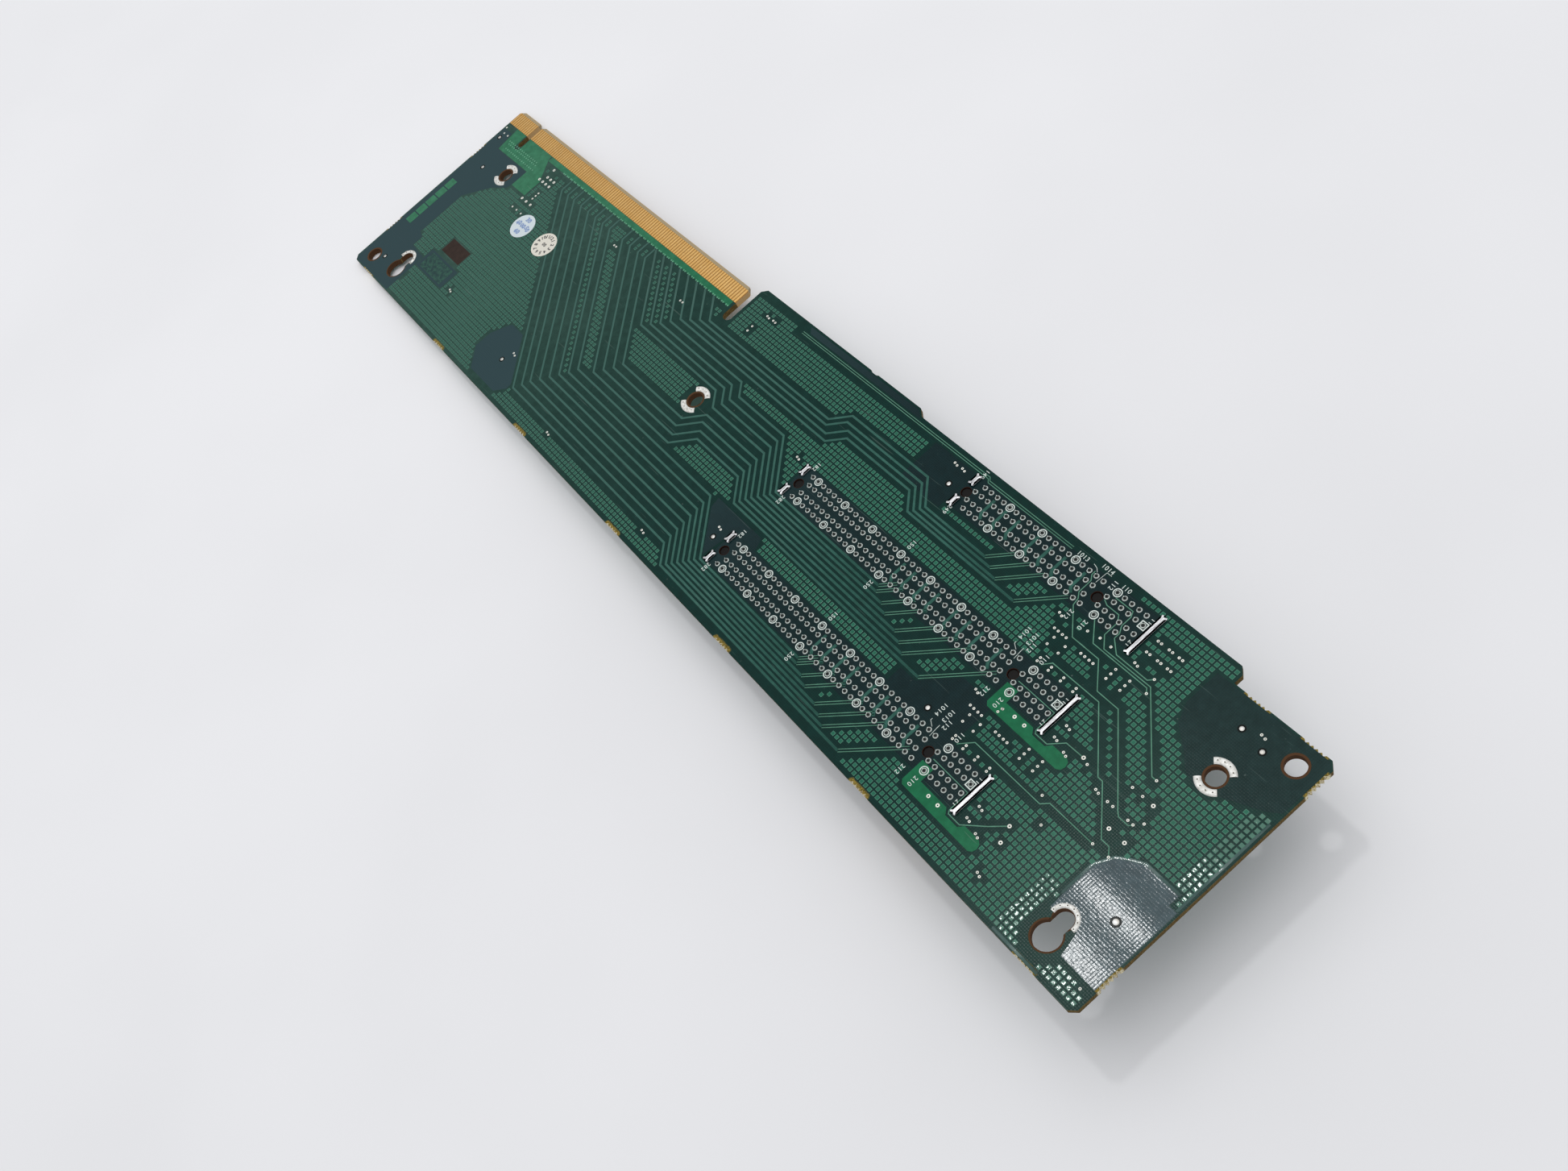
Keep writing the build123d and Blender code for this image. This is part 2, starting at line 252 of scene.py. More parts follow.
def new_material(name):
    """A material with its shader, and the place on the object in plan millimetres."""
    material = bpy.data.materials.new(name)
    material.use_nodes = True
    tree = material.node_tree
    shader = tree.nodes["Principled BSDF"]
    raw = put(tree, "TexCoord").outputs["Object"]
    place = put(
        tree,
        "Mapping",
        {"Vector": raw, "Location": (-PLAN_X, -PLAN_Y, -TOP / MM), "Scale": (1 / MM,) * 3},
    ).outputs[0]
    return material, tree, shader, place


def dress(tree, shader, colour, roughness, metallic=0.0, gloss=0.5):
    """Gives the shader its colour and roughness, and how metallic and glossy it is."""
    inputs = {"Base Color": colour, "Roughness": roughness}
    feed(tree, shader, inputs | {"Metallic": metallic, "Specular IOR Level": gloss})


def lift(tree, shader, height, distance):
    """Feeds a height to the shader's normal, its distance in millimetres."""
    bump = put(tree, "Bump", {"Height": height, "Distance": distance * MM})
    tree.links.new(bump.outputs[0], shader.inputs["Normal"])


# Shared effects


def make_weave_group():
    """Plain weave of the glass cloth under the mask."""
    tree, given, out = new_group(
        "Glass Weave", [("Place", "Vector"), ("Strand", "Float")], [("Height", "Float")]
    )
    wave_x, wave_y = [
        maths(tree, "SINE", times(tree, maths(tree, "DIVIDE", along, given["Strand"]), math.pi))
        for along in split(tree, given["Place"])[:2]
    ]
    over = scaled(tree, times(tree, wave_x, wave_y), 0.5, 0.5)
    under = maths(tree, "SUBTRACT", 1.0, over)
    warp = times(tree, maths(tree, "ABSOLUTE", wave_x), over)
    weft = times(tree, maths(tree, "ABSOLUTE", wave_y), under)
    tree.links.new(plus(tree, warp, weft), out["Height"])


def make_wear_group():
    """Fine dust and hairline scratches."""
    tree, given, out = new_group(
        "Handling Wear", [("Place", "Vector")], [("Dust", "Float"), ("Scratches", "Float")]
    )
    specks = put(tree, "TexVoronoi", {"Vector": given["Place"], "Scale": 0.55}).outputs["Distance"]
    grain = noise(tree, given["Place"], 0.9, 4.0, 0.7)
    dust = times(tree, between(tree, specks, 0.13, 0.05), between(tree, grain, 0.5, 0.68))
    tree.links.new(dust, out["Dust"])
    lines = []
    for angle, stretch, threshold in ((0.6, 0.05, 0.705), (-0.9, 0.04, 0.715), (1.9, 0.07, 0.72)):
        mapped = put(
            tree,
            "Mapping",
            {"Vector": given["Place"], "Rotation": (0, 0, angle), "Scale": (stretch, 1.9, 1.0)},
        ).outputs[0]
        lines.append(between(tree, noise(tree, mapped, 1.0, 2.0, 0.5), threshold, threshold + 0.03))
    tree.links.new(highest(tree, lines), out["Scratches"])


def make_mask_group():
    """Solder mask: its tint with a painted sheen, gloss and height over whatever lies beneath."""
    tree, given, out = new_group(
        "Solder Mask",
        [("Place", "Vector"), ("Color", "Color"), ("Weave", "Float"), ("Painted Sheen", "Float")],
        [("Color", "Color"), ("Roughness", "Float"), ("Height", "Float")],
    )
    x = split(tree, given["Place"])[0]
    weave = use_group(tree, "Glass Weave", {"Place": given["Place"], "Strand": 0.48})["Height"]
    wear = use_group(tree, "Handling Wear", {"Place": given["Place"]})
    clouds = noise(tree, given["Place"], 0.035, 3.0, 0.5)
    mottle = noise(tree, given["Place"], 0.5, 4.0, 0.6)
    # Painted sheen: the mask is painted paler towards the left end, and a little at the right one,
    # a painted reflection of the room
    left = times(tree, between(tree, x, -70.0, -260.0), 0.17)
    right = times(tree, between(tree, x, -10.0, 30.0), 0.05)
    pale = times(tree, plus(tree, left, right), given["Painted Sheen"])
    painted_sheen = times(tree, pale, between(tree, clouds, 0.25, 0.75, 0.75, 1.15))
    colour = blend(tree, painted_sheen, given["Color"], linear(120, 155, 139))
    deeper = between(tree, mottle, 0.3, 0.75, 0.85, 1.15)
    colour = blend(tree, 1.0, colour, join(tree, deeper, deeper, deeper), "MULTIPLY")
    threads = times(tree, weave, given["Weave"])
    colour = blend(tree, times(tree, threads, 0.03), colour, linear(90, 130, 120))
    colour = blend(tree, times(tree, wear["Dust"], 0.22), colour, linear(150, 165, 158))
    colour = blend(tree, times(tree, wear["Scratches"], 0.1), colour, linear(150, 175, 165))
    tree.links.new(colour, out["Color"])
    rough = scaled(tree, wear["Dust"], 0.3, scaled(tree, mottle, 0.1, 0.14))
    tree.links.new(scaled(tree, wear["Scratches"], 0.12, rough), out["Roughness"])
    tree.links.new(scaled(tree, mottle, 0.6, threads), out["Height"])


def make_groups():
    make_weave_group()
    make_wear_group()
    make_mask_group()


# Materials


PLAIN_GLOSS = 0.05
WET_GLOSS = 0.17


def mask_material(name, colour, weave, bump, painted_sheen=1.0, wear_and_sheen_colour=None, highlight_below=None):
    """Solder mask over one kind of copper.

    wear_and_sheen_colour is its colour towards the left end, a painted sheen, and highlight_below
    the level below which it is painted paler, a painted highlight.
    """
    material, tree, shader, place = new_material(name)
    mask = use_group(
        tree, "Solder Mask", {"Place": place, "Color": tuple(colour), "Weave": weave, "Painted Sheen": painted_sheen}
    )
    shown = mask["Color"]
    if wear_and_sheen_colour:
        leftwards = between(tree, split(tree, place)[0], -50.0, -180.0)
        # Painted sheen: towards the left end the mask is blended to a paler colour
        shown = blend(tree, leftwards, shown, wear_and_sheen_colour)
    if highlight_below:
        # Painted highlight: below that level the flanks are painted paler
        edge = between(tree, split(tree, place)[2], highlight_below, highlight_below - 0.008)
        shown = blend(tree, times(tree, edge, 0.4), shown, linear(120, 170, 148))
    dress(tree, shader, shown, mask["Roughness"], gloss=PLAIN_GLOSS)
    lift(tree, shader, mask["Height"], bump)
    return material


def granular_material():
    """Mask over a rough patch of copper, mottled light and dark."""
    material, tree, shader, place = new_material("granular_mask")
    coarse = noise(tree, place, 0.9, 4.0, 0.75)
    fine = noise(tree, place, 3.5, 3.0, 0.7)
    mottle = times(tree, between(tree, coarse, 0.4, 0.62), between(tree, fine, 0.3, 0.65))
    colour = blend(tree, mottle, linear(40, 62, 62), linear(58, 98, 82))
    dress(tree, shader, colour, scaled(tree, fine, 0.3, 0.3), gloss=PLAIN_GLOSS)
    lift(tree, shader, scaled(tree, fine, 0.6, coarse), 0.03)
    return material


def wet_material(name, colour, gloss, roughen=2.4):
    """Glossy mask at the right keyhole, waved enough to break up a lamp's reflection."""
    material, tree, shader, place = new_material(name)
    mask = use_group(
        tree, "Solder Mask", {"Place": place, "Color": tuple(colour), "Weave": 1.0, "Painted Sheen": 1.0}
    )
    y = split(tree, place)[1]
    # A long wave across the zone parts the reflection in two
    swell = maths(tree, "COSINE", times(tree, maths(tree, "SUBTRACT", y, 0.5), 0.33))
    ripple = noise(tree, place, 0.85, 2.0, 0.6)
    threads = use_group(tree, "Glass Weave", {"Place": place, "Strand": 0.62})["Height"]
    dress(tree, shader, mask["Color"], scaled(tree, ripple, 0.06, 0.07), gloss=gloss)
    waves = scaled(tree, swell, 14.0, times(tree, ripple, roughen))
    lift(tree, shader, plus(tree, threads, waves), 0.006)
    return material


# Holes, and the radii of their bare rims
SCREW_HOLES = {"left": (-245.7, 30.2), "middle": (-126.2, 18.15), "right": (31.9, 30.2)}
PLAIN_HOLES = ((-258.8, -13.5), (40.5, 41.1))
KEYHOLE_NECKS = {"left": (-246.7, -7.65), "right": (32.1, -7.65)}
KEYHOLE_ENTRIES = ((-246.7, -11.85, 3.3), (32.1, -11.85, 3.35))
SCREW_RIM = 2.45
PLAIN_RIM = 2.6
NECK_RIM = 2.35
PEG_RIM = 1.32
ROUND_RIMS = [(*hole, SCREW_RIM) for hole in SCREW_HOLES.values()]
ROUND_RIMS += [(*hole, PLAIN_RIM) for hole in PLAIN_HOLES]
NECK_RIMS = [(*neck, NECK_RIM) for neck in KEYHOLE_NECKS.values()]
ALL_RIMS = ROUND_RIMS + list(KEYHOLE_ENTRIES) + NECK_RIMS
PEG_PLACES = [
    (x, middle)
    for middle, count in zip(SLOT_MIDDLES, SLOT_COUNTS)
    for x in (-11.5, contact_x(count) - 1.65)
]

# The board's walls by their height, and its edge tongue, bevel and key notch by their place
WALL_LEVELS = (-1.58, -0.02)
TONGUE_LOW = 43.25
TONGUE_RIGHT = -141.9
BEVEL_LINES = (47.75, 48.75)
NOTCH_TOP = 49.0

# Where the board was broken out of its panel
LOW_SCARS = (-254.5, -207.5, -160.0, -112.7, -65.5, -16.0, 33.0)
LEFT_SCARS = (-2.9, 30.5)
RIGHT_SCARS = (-9.5, 40.8)
STEP_SCARS = (40.5, 27.1)
LOW_EDGE = -18.5
LEFT_EDGE = -264.3
RIGHT_EDGE = 45.7
STEP_EDGE = 46.0
SCAR_HALF = 2.4


def scar_places():
    """Middle and half size of each broken edge."""
    lows = [(x, LOW_EDGE, SCAR_HALF, 0.2) for x in LOW_SCARS]
    lefts = [(LEFT_EDGE, y, 0.2, SCAR_HALF) for y in LEFT_SCARS]
    rights = [(RIGHT_EDGE, y, 0.2, SCAR_HALF) for y in RIGHT_SCARS]
    steps = [(x, STEP_EDGE, SCAR_HALF, 0.2) for x in STEP_SCARS]
    return lows + lefts + rights + steps


def board_material(colours):
    material, tree, shader, place = new_material("board_mask_and_laminate")
    x, y, z = split(tree, place)
    flat = join(tree, x, y)
    ragged = scaled(tree, noise(tree, place, 1.4, 3.0, 0.6), 0.5, -0.25)
    mask = use_group(
        tree,
        "Solder Mask",
        {"Place": place, "Color": tuple(colours.ground), "Weave": 1.0, "Painted Sheen": 1.0},
    )
    # Walls, and the tongue's bevels, lie between the two faces
    wall = within(tree, z, *WALL_LEVELS)
    past_edge = maths(tree, "GREATER_THAN", y, TONGUE_LOW)
    tongue = times(tree, past_edge, maths(tree, "LESS_THAN", x, TONGUE_RIGHT))
    rims = []
    for centre_x, centre_y, radius in ALL_RIMS + [(*peg, PEG_RIM) for peg in PEG_PLACES]:
        reach = vector(tree, "DISTANCE", flat, (centre_x, centre_y, 0.0))
        reach = scaled(tree, ragged, 0.5, reach)
        rims.append(between(tree, reach, radius + 0.06, radius - 0.06))
    rim = highest(tree, rims)
    # Painted shade: the walls round the pegs are painted dark, where the narrow holes lie in shade
    peg_hole_shade = []
    for peg in PEG_PLACES:
        reach = vector(tree, "DISTANCE", flat, (*peg, 0.0))
        peg_hole_shade.append(between(tree, reach, PEG_RIM + 0.4, PEG_RIM + 0.2))
    halos = []
    for middle_x, middle_y, half_x, half_y in scar_places():
        away = vector(tree, "ABSOLUTE", vector(tree, "SUBTRACT", flat, (middle_x, middle_y, 0.0)))
        past = vector(tree, "SUBTRACT", away, (half_x, half_y, 0.0))
        reach = vector(tree, "LENGTH", vector(tree, "MAXIMUM", past, (0.0, 0.0, 0.0)))
        halos.append(between(tree, plus(tree, reach, ragged), 0.95, 0.45))
    halo = highest(tree, halos)
    # Laminate walls show the cloth's layers
    layers = noise(tree, vector(tree, "MULTIPLY", place, (0.6, 0.6, 9.0)), 1.0, 3.0, 0.7)
    fibres = noise(tree, vector(tree, "MULTIPLY", place, (6.0, 6.0, 1.5)), 1.0, 2.0, 0.6)
    shade = between(tree, times(tree, layers, fibres), 0.12, 0.4)
    laminate = blend(tree, shade, linear(72, 56, 30), tuple(colours.laminate))
    bevel = times(tree, within(tree, y, *BEVEL_LINES), tongue)
    tan = blend(tree, fibres, linear(140, 122, 92), linear(176, 162, 134))
    # Painted light: the key notch's walls are painted a pale tan, against the shade in the narrow
    # slot
    notch = times(tree, maths(tree, "LESS_THAN", y, NOTCH_TOP), tongue)
    laminate = blend(tree, times(tree, notch, wall), laminate, linear(190, 158, 112))
    laminate = blend(tree, bevel, laminate, tan)
    laminate = blend(tree, rim, laminate, linear(80, 56, 38))
    laminate = blend(tree, highest(tree, peg_hole_shade), laminate, linear(46, 26, 20))
    bare = highest(tree, [wall, rim])
    chips = noise(tree, place, 2.6, 3.0, 0.75)
    bruise = blend(tree, between(tree, chips, 0.35, 0.6), linear(74, 66, 26), linear(150, 128, 60))
    colour = blend(tree, times(tree, halo, 0.9), mask["Color"], bruise)
    colour = blend(tree, bare, colour, laminate)
    grit = between(tree, chips, 0.38, 0.55)
    splinters = blend(tree, grit, linear(128, 100, 48), linear(236, 228, 196))
    colour = blend(tree, times(tree, halo, wall), colour, splinters)
    seam = blend(tree, fibres, linear(136, 96, 48), linear(166, 122, 66))
    gaps = times(tree, tongue, maths(tree, "SUBTRACT", 1.0, wall))
    colour = blend(tree, gaps, colour, seam)
    rough = blend(
        tree,
        highest(tree, [bare, halo, tongue]),
        join(tree, mask["Roughness"], 0.0),
        (0.75, 0.0, 0.0, 1.0),
    )
    dress(tree, shader, colour, split(tree, rough)[0], gloss=PLAIN_GLOSS)
    coarse = times(tree, highest(tree, [bare, halo]), fibres)
    lift(tree, shader, scaled(tree, coarse, 3.0, mask["Height"]), 0.012)
    return material


def metal_material(name, colour, stain, roughness, scale, bump, metallic=0.9):
    """Bright plated or soldered metal, stained and dulled in patches."""
    material, tree, shader, place = new_material(name)
    patches = noise(tree, place, scale, 4.0, 0.6)
    fine = noise(tree, place, scale * 9.0, 3.0, 0.7)
    share = times(tree, between(tree, patches, 0.35, 0.75), 0.55)
    tone = blend(tree, share, tuple(colour), stain)
    dress(tree, shader, tone, scaled(tree, patches, 0.25, roughness), metallic)
    lift(tree, shader, scaled(tree, fine, 0.4, patches), bump)
    return material


def gold_material(colours):
    material, tree, shader, place = new_material("gold_fingers")
    x, y = split(tree, place)[:2]
    number = maths(tree, "ROUND", x)
    whim = put(tree, "TexWhiteNoise", {"W": number}, noise_dimensions="1D").outputs["Value"]
    streak = noise(tree, vector(tree, "MULTIPLY", place, (7.0, 0.5, 1.0)), 1.0, 3.0, 0.6)
    wiped = noise(tree, vector(tree, "MULTIPLY", place, (1.2, 2.4, 1.0)), 1.0, 4.0, 0.6)
    colour = blend(tree, times(tree, whim, 0.3), tuple(colours.gold), linear(176, 132, 70))
    colour = blend(tree, between(tree, streak, 0.45, 0.85), colour, linear(214, 182, 124))
    # The sockets' springs wipe a paler band across every finger
    band = times(tree, between(tree, y, 44.4, 44.9), between(tree, y, 47.2, 46.6))
    worn = times(tree, band, between(tree, wiped, 0.4, 0.7))
    colour = blend(tree, times(tree, worn, 0.3), colour, linear(222, 196, 146))
    dress(tree, shader, colour, scaled(tree, wiped, 0.25, 0.3), metallic=0.85)
    lift(tree, shader, streak, 0.006)
    return material


def ink_material(name, colour, wear_and_sheen_colour=linear(140, 160, 150)):
    """Print that has worn paler in patches."""
    material, tree, shader, place = new_material(name)
    worn = noise(tree, place, 2.2, 4.0, 0.7)
    tone = blend(tree, between(tree, worn, 0.5, 0.8), colour, wear_and_sheen_colour)
    dress(tree, shader, tone, scaled(tree, worn, 0.2, 0.5))
    lift(tree, shader, worn, 0.004)
    return material


def paper_material(name, colour, smudges):
    """Matt sticker paper, with soft bluish smudges at the places given."""
    material, tree, shader, place = new_material(name)
    fibre = noise(tree, place, 6.0, 4.0, 0.7)
    soft = noise(tree, place, 0.9, 2.0, 0.5)
    tone = blend(tree, between(tree, fibre, 0.35, 0.75), colour, tuple(0.88 * c for c in colour))
    flat = join(tree, *split(tree, place)[:2])
    for spot_x, spot_y, wide, tall, strength in smudges:
        away = vector(tree, "SUBTRACT", flat, (spot_x, spot_y, 0.0))
        squeezed = vector(tree, "MULTIPLY", away, (1 / wide, 1 / tall, 0.0))
        reach = scaled(tree, soft, 0.5, vector(tree, "LENGTH", squeezed))
        inside = times(tree, between(tree, reach, 1.25, 0.55), strength)
        tone = blend(tree, inside, tone, linear(150, 168, 192))
    dress(tree, shader, tone, scaled(tree, fibre, 0.15, 0.62))
    lift(tree, shader, fibre, 0.01)
    return material


def plastic_material(name, colour):
    """Moulded plastic with flow marks, and painted shade where it rises into the board's holes."""
    material, tree, shader, place = new_material(name)
    grain = noise(tree, place, 9.0, 3.0, 0.6)
    flow = noise(tree, vector(tree, "MULTIPLY", place, (0.08, 0.4, 0.4)), 1.0, 3.0, 0.5)
    pale = tuple(min(1.0, 1.8 * c + 0.004) for c in colour[:3]) + (1.0,)
    moulded = blend(tree, between(tree, flow, 0.35, 0.75), colour, pale)
    # Painted shade: the peg ends within the board's holes are painted near black
    peg_end_shade = between(tree, split(tree, place)[2], -1.7, -1.2)
    tone = blend(tree, peg_end_shade, moulded, linear(12, 9, 8))
    dress(tree, shader, tone, scaled(tree, grain, 0.18, 0.42), gloss=0.12)
    lift(tree, shader, grain, 0.012)
    return material


def joint_material():
    """Rings of solder with painted shade inside them and on the pins' sides, and pins with tips
    painted paler, a painted highlight.
    """
    material, tree, shader, place = new_material("joint_solder")
    x, y, z = split(tree, place)
    # How far a point is from the nearest pin, by the slots' even pitch
    along = maths(tree, "SUBTRACT", x, maths(tree, "ROUND", x))
    from_first = maths(tree, "SUBTRACT", y, SLOT_MIDDLES[0])
    turned = maths(tree, "WRAP", from_first, SLOT_PITCH / 2, -SLOT_PITCH / 2)
    across = maths(tree, "ABSOLUTE", turned)
    outer = maths(tree, "GREATER_THAN", across, (INNER_ROW + OUTER_ROW) / 2)
    row = scaled(tree, outer, OUTER_ROW - INNER_ROW, INNER_ROW)
    reach = vector(tree, "LENGTH", join(tree, along, maths(tree, "SUBTRACT", across, row)))
    patches = noise(tree, place, 1.3, 4.0, 0.6)
    fine = noise(tree, place, 11.0, 3.0, 0.7)
    share = times(tree, between(tree, patches, 0.4, 0.75), 0.5)
    colour = blend(tree, share, linear(208, 216, 210), linear(136, 140, 136))
    # Painted shade: dark inside each ring, where the pin's sides lie in shade
    inside = between(tree, scaled(tree, fine, 0.08, reach), 0.47, 0.4)
    colour = blend(tree, inside, colour, linear(30, 36, 34))
    # Painted highlight: the pins' cut tips are painted paler than their shaded sides
    colour = blend(tree, between(tree, z, 0.7, 0.78), colour, linear(176, 184, 178))
    dress(tree, shader, colour, scaled(tree, patches, 0.25, 0.3), metallic=0.25)
    lift(tree, shader, scaled(tree, fine, 0.4, patches), 0.02)
    return material


def streaked_solder(name, colour):
    """Solder drawn out along the bar, in bright and dull streaks."""
    material, tree, shader, place = new_material(name)
    streak = noise(tree, vector(tree, "MULTIPLY", place, (4.5, 0.35, 1.0)), 1.0, 4.0, 0.65)
    dull = noise(tree, place, 1.1, 3.0, 0.6)
    tone = blend(tree, between(tree, streak, 0.36, 0.62), linear(140, 140, 142), colour)
    stained = times(tree, between(tree, dull, 0.5, 0.8), 0.4)
    tone = blend(tree, stained, tone, linear(150, 148, 142))
    dress(tree, shader, tone, scaled(tree, streak, 0.3, 0.14), metallic=0.4)
    lift(tree, shader, streak, 0.05)
    return material


# Modelling helpers


def start_clean():
    if bpy.context.object and bpy.context.object.mode != "OBJECT":
        bpy.ops.object.mode_set(mode="OBJECT")
    bpy.ops.object.select_all(action="DESELECT")


def pick(objects):
    start_clean()
    for each in objects:
        each.select_set(True)
    bpy.context.view_layer.objects.active = objects[0]


def edit(piece):
    pick([piece])
    bpy.ops.object.mode_set(mode="EDIT")


def leave():
    bpy.ops.object.mode_set(mode="OBJECT")


def repaint(node, material):
    """Gives a piece of the frame another material."""
    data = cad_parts[node].data
    data.materials.clear()
    data.materials.append(material)


def add_object(name, data):
    made = bpy.data.objects.new(name, data)
    bpy.context.scene.collection.objects.link(made)
    return made


def choose_faces(piece, wanted):
    """In edit mode, selects the faces that pass a test of their middle and normal."""
    bpy.ops.mesh.select_mode(type="FACE")
    bpy.ops.mesh.select_all(action="DESELECT")
    mesh = bmesh.from_edit_mesh(piece.data)
    for face in mesh.faces:
        face.select_set(bool(wanted(face.calc_center_median(), face.normal)))
    bmesh.update_edit_mesh(piece.data)


def choose_top(piece):
    choose_faces(piece, lambda middle, normal: normal.z > 0.9)


def turn_outwards():
    """In edit mode, turns every face of the piece outwards."""
    bpy.ops.mesh.select_all(action="SELECT")
    bpy.ops.mesh.normals_make_consistent(inside=False)


def settle(piece):
    """Puts the piece's place into its mesh."""
    pick([piece])
    bpy.ops.object.transform_apply(location=True, rotation=True, scale=True)


def finish(piece, name, material, smooth=None, replaced=()):
    """Names, paints and hangs a finished piece on the card."""
    settle(piece)
    piece.name = name
    piece.data.name = name
    piece.data.materials.clear()
    piece.data.materials.append(material)
    if smooth is not None:
        bpy.ops.object.shade_smooth_by_angle(angle=math.radians(smooth))
    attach(piece, "root")
    if replaced:
        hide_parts(*replaced)
    return piece


def merge(pieces):
    pick(pieces)
    if len(pieces) > 1:
        bpy.ops.object.join()
    piece = bpy.context.object
    settle(piece)
    return piece


def scatter(model, places):
    """One piece made of copies of the model, each moved and turned to its place."""
    copies = []
    for place, turn in places:
        copy = model.copy()
        copy.data = model.data.copy()
        bpy.context.scene.collection.objects.link(copy)
        copy.location = place
        copy.rotation_euler = (0.0, 0.0, turn)
        copies.append(copy)
    bpy.data.objects.remove(model)
    return merge(copies)


def spread(model, spots, level=TOP):
    """One piece made of unturned copies of the model, at spots in plan millimetres."""
    return scatter(model, [(plan(x, y, level), 0.0) for x, y in spots])


def flat_profile(width, height):
    """Section of a strip with sloping flanks."""
    slope = min(0.6 * height, width / 4)
    return (
        (-width / 2, -0.2 * height),
        (width / 2, -0.2 * height),
        (width / 2 - slope, height),
        (-width / 2 + slope, height),
    )


def paired_profile(width, height):
    """Section of two traces side by side, with a shallow valley between them."""
    slope = 0.6 * height
    return (
        (-width / 2, -0.2 * height),
        (width / 2, -0.2 * height),
        (width / 2 - slope, height),
        (0.14 * width, height),
        (0.0, 0.1 * height),
        (-0.14 * width, height),
        (-width / 2 + slope, height),
    )


def crown_profile(width, height, steps=6):
    """Section of a rounded bead."""
    arch = [math.pi * step / steps for step in range(steps + 1)]
    return [(width / 2 * math.cos(turn), height * math.sin(turn)) for turn in arch]


def draw_line(curve, points, closed=False):
    """Adds one straight-sided line to a curve."""
    spline = curve.splines.new("POLY")
    spline.points.add(len(points) - 1)
    for point, place in zip(spline.points, points):
        point.co = (*place, 1.0)
    spline.use_cyclic_u = closed


def mesh_of(curve, weld):
    """A mesh made from a curve, with the points closer than the weld joined."""
    pick([add_object(curve.name, curve)])
    bpy.ops.object.convert(target="MESH")
    piece = bpy.context.object
    edit(piece)
    bpy.ops.mesh.select_all(action="SELECT")
    bpy.ops.mesh.remove_doubles(threshold=weld)
    turn_outwards()
    leave()
    return piece


def strips(routes, section, level):
    """Strips of one section that follow routes given in plan millimetres."""
    outline = bpy.data.curves.new("strip_profile", "CURVE")
    outline.dimensions = "2D"
    draw_line(outline, [(across, up, 0.0) for across, up in section], closed=True)
    profile = add_object("strip_profile", outline)
    curve = bpy.data.curves.new("strips", "CURVE")
    curve.dimensions = "3D"
    curve.twist_mode = "Z_UP"
    curve.bevel_mode = "OBJECT"
    curve.bevel_object = profile
    curve.use_fill_caps = True
    for route in routes:
        draw_line(curve, [plan(x, y, level) for x, y in route])
    piece = mesh_of(curve, 0.0005 * MM)
    bpy.data.objects.remove(profile)
    return piece


def arc(centre_x, centre_y, radius, first, last, steps):
    """Points along an arc, in plan millimetres and degrees."""
    turns = [math.radians(first + (last - first) * step / steps) for step in range(steps + 1)]
    return [(centre_x + radius * math.cos(t), centre_y + radius * math.sin(t)) for t in turns]


def circle(centre_x, centre_y, radius, sides=24):
    return arc(centre_x, centre_y, radius, 0, 360, sides)[:-1]


def plates(outlines, height, level):
    """Thin flat plates with outlines given in plan millimetres."""
    curve = bpy.data.curves.new("plates", "CURVE")
    curve.dimensions = "2D"
    curve.fill_mode = "BOTH"
    curve.extrude = height / 2
    for outline in outlines:
        draw_line(curve, [plan(x, y, 0.0) for x, y in outline], closed=True)
    piece = mesh_of(curve, 0.001 * MM)
    piece.location.z = level + height / 2
    settle(piece)
    return piece


def disc(radius, height, sides):
    """An upright disc standing on its origin, left in edit mode."""
    start_clean()
    bpy.ops.mesh.primitive_cylinder_add(
        vertices=sides, radius=radius, depth=height, location=(0, 0, height / 2)
    )
    piece = bpy.context.object
    settle(piece)
    edit(piece)
    return piece


def ring(outer, inner, height, sides):
    """A flat ring, standing on its origin."""
    piece = disc(outer, height, sides)
    choose_faces(piece, lambda middle, normal: abs(normal.z) > 0.9)
    bpy.ops.mesh.inset(thickness=outer - inner, use_even_offset=True)
    bpy.ops.mesh.bridge_edge_loops()
    turn_outwards()
    leave()
    return piece


def button(radius, height, sides, steps=2):
    """A low round dome, standing on its origin."""
    piece = disc(radius, height * 0.4, sides)
    choose_top(piece)
    for step in range(steps):
        bpy.ops.mesh.inset(thickness=radius * 0.9 / (steps + 1))
        bpy.ops.transform.translate(value=(0, 0, height * 0.6 / steps * (1.4 - 0.8 * step)))
    leave()
    return piece


# The plan of the copper


# Levels of the bus's straight runs, and the X + Y of the diagonals that lead to them
LOWER_ROWS = (12.5, 10.2, 8.0, 5.8, 3.6, 1.3, -0.8, -3.0, -5.2, -7.4, -9.6, -11.8)
LOWER_SUMS = (
    -140.1, -143.8, -147.9, -151.9, -158.8, -162.5, -166.5, -170.5, -174.5, -178.5, -181.9, -185.5,
)
UPPER_ROWS = (23.2, 25.0, 26.8, 28.9)
UPPER_SUMS = (-136.0, -132.0, -128.0, -124.0)
TOP_ROWS = (31.0, 32.5, 34.1, 35.5)
TOP_SUMS = (-120.0, -116.0, -112.0, -108.0)
FAN_STEPS = (14.6, 13.3, 12.2, 11.0, 9.8, 8.6, 7.3, 6.1)
FAN_ENDS = (-49.0, -48.3, -45.2, -42.6, -37.8, -35.0, -32.5, -25.7)
STRIP_LEVEL = 41.4
BEND_LEVEL = 37.5

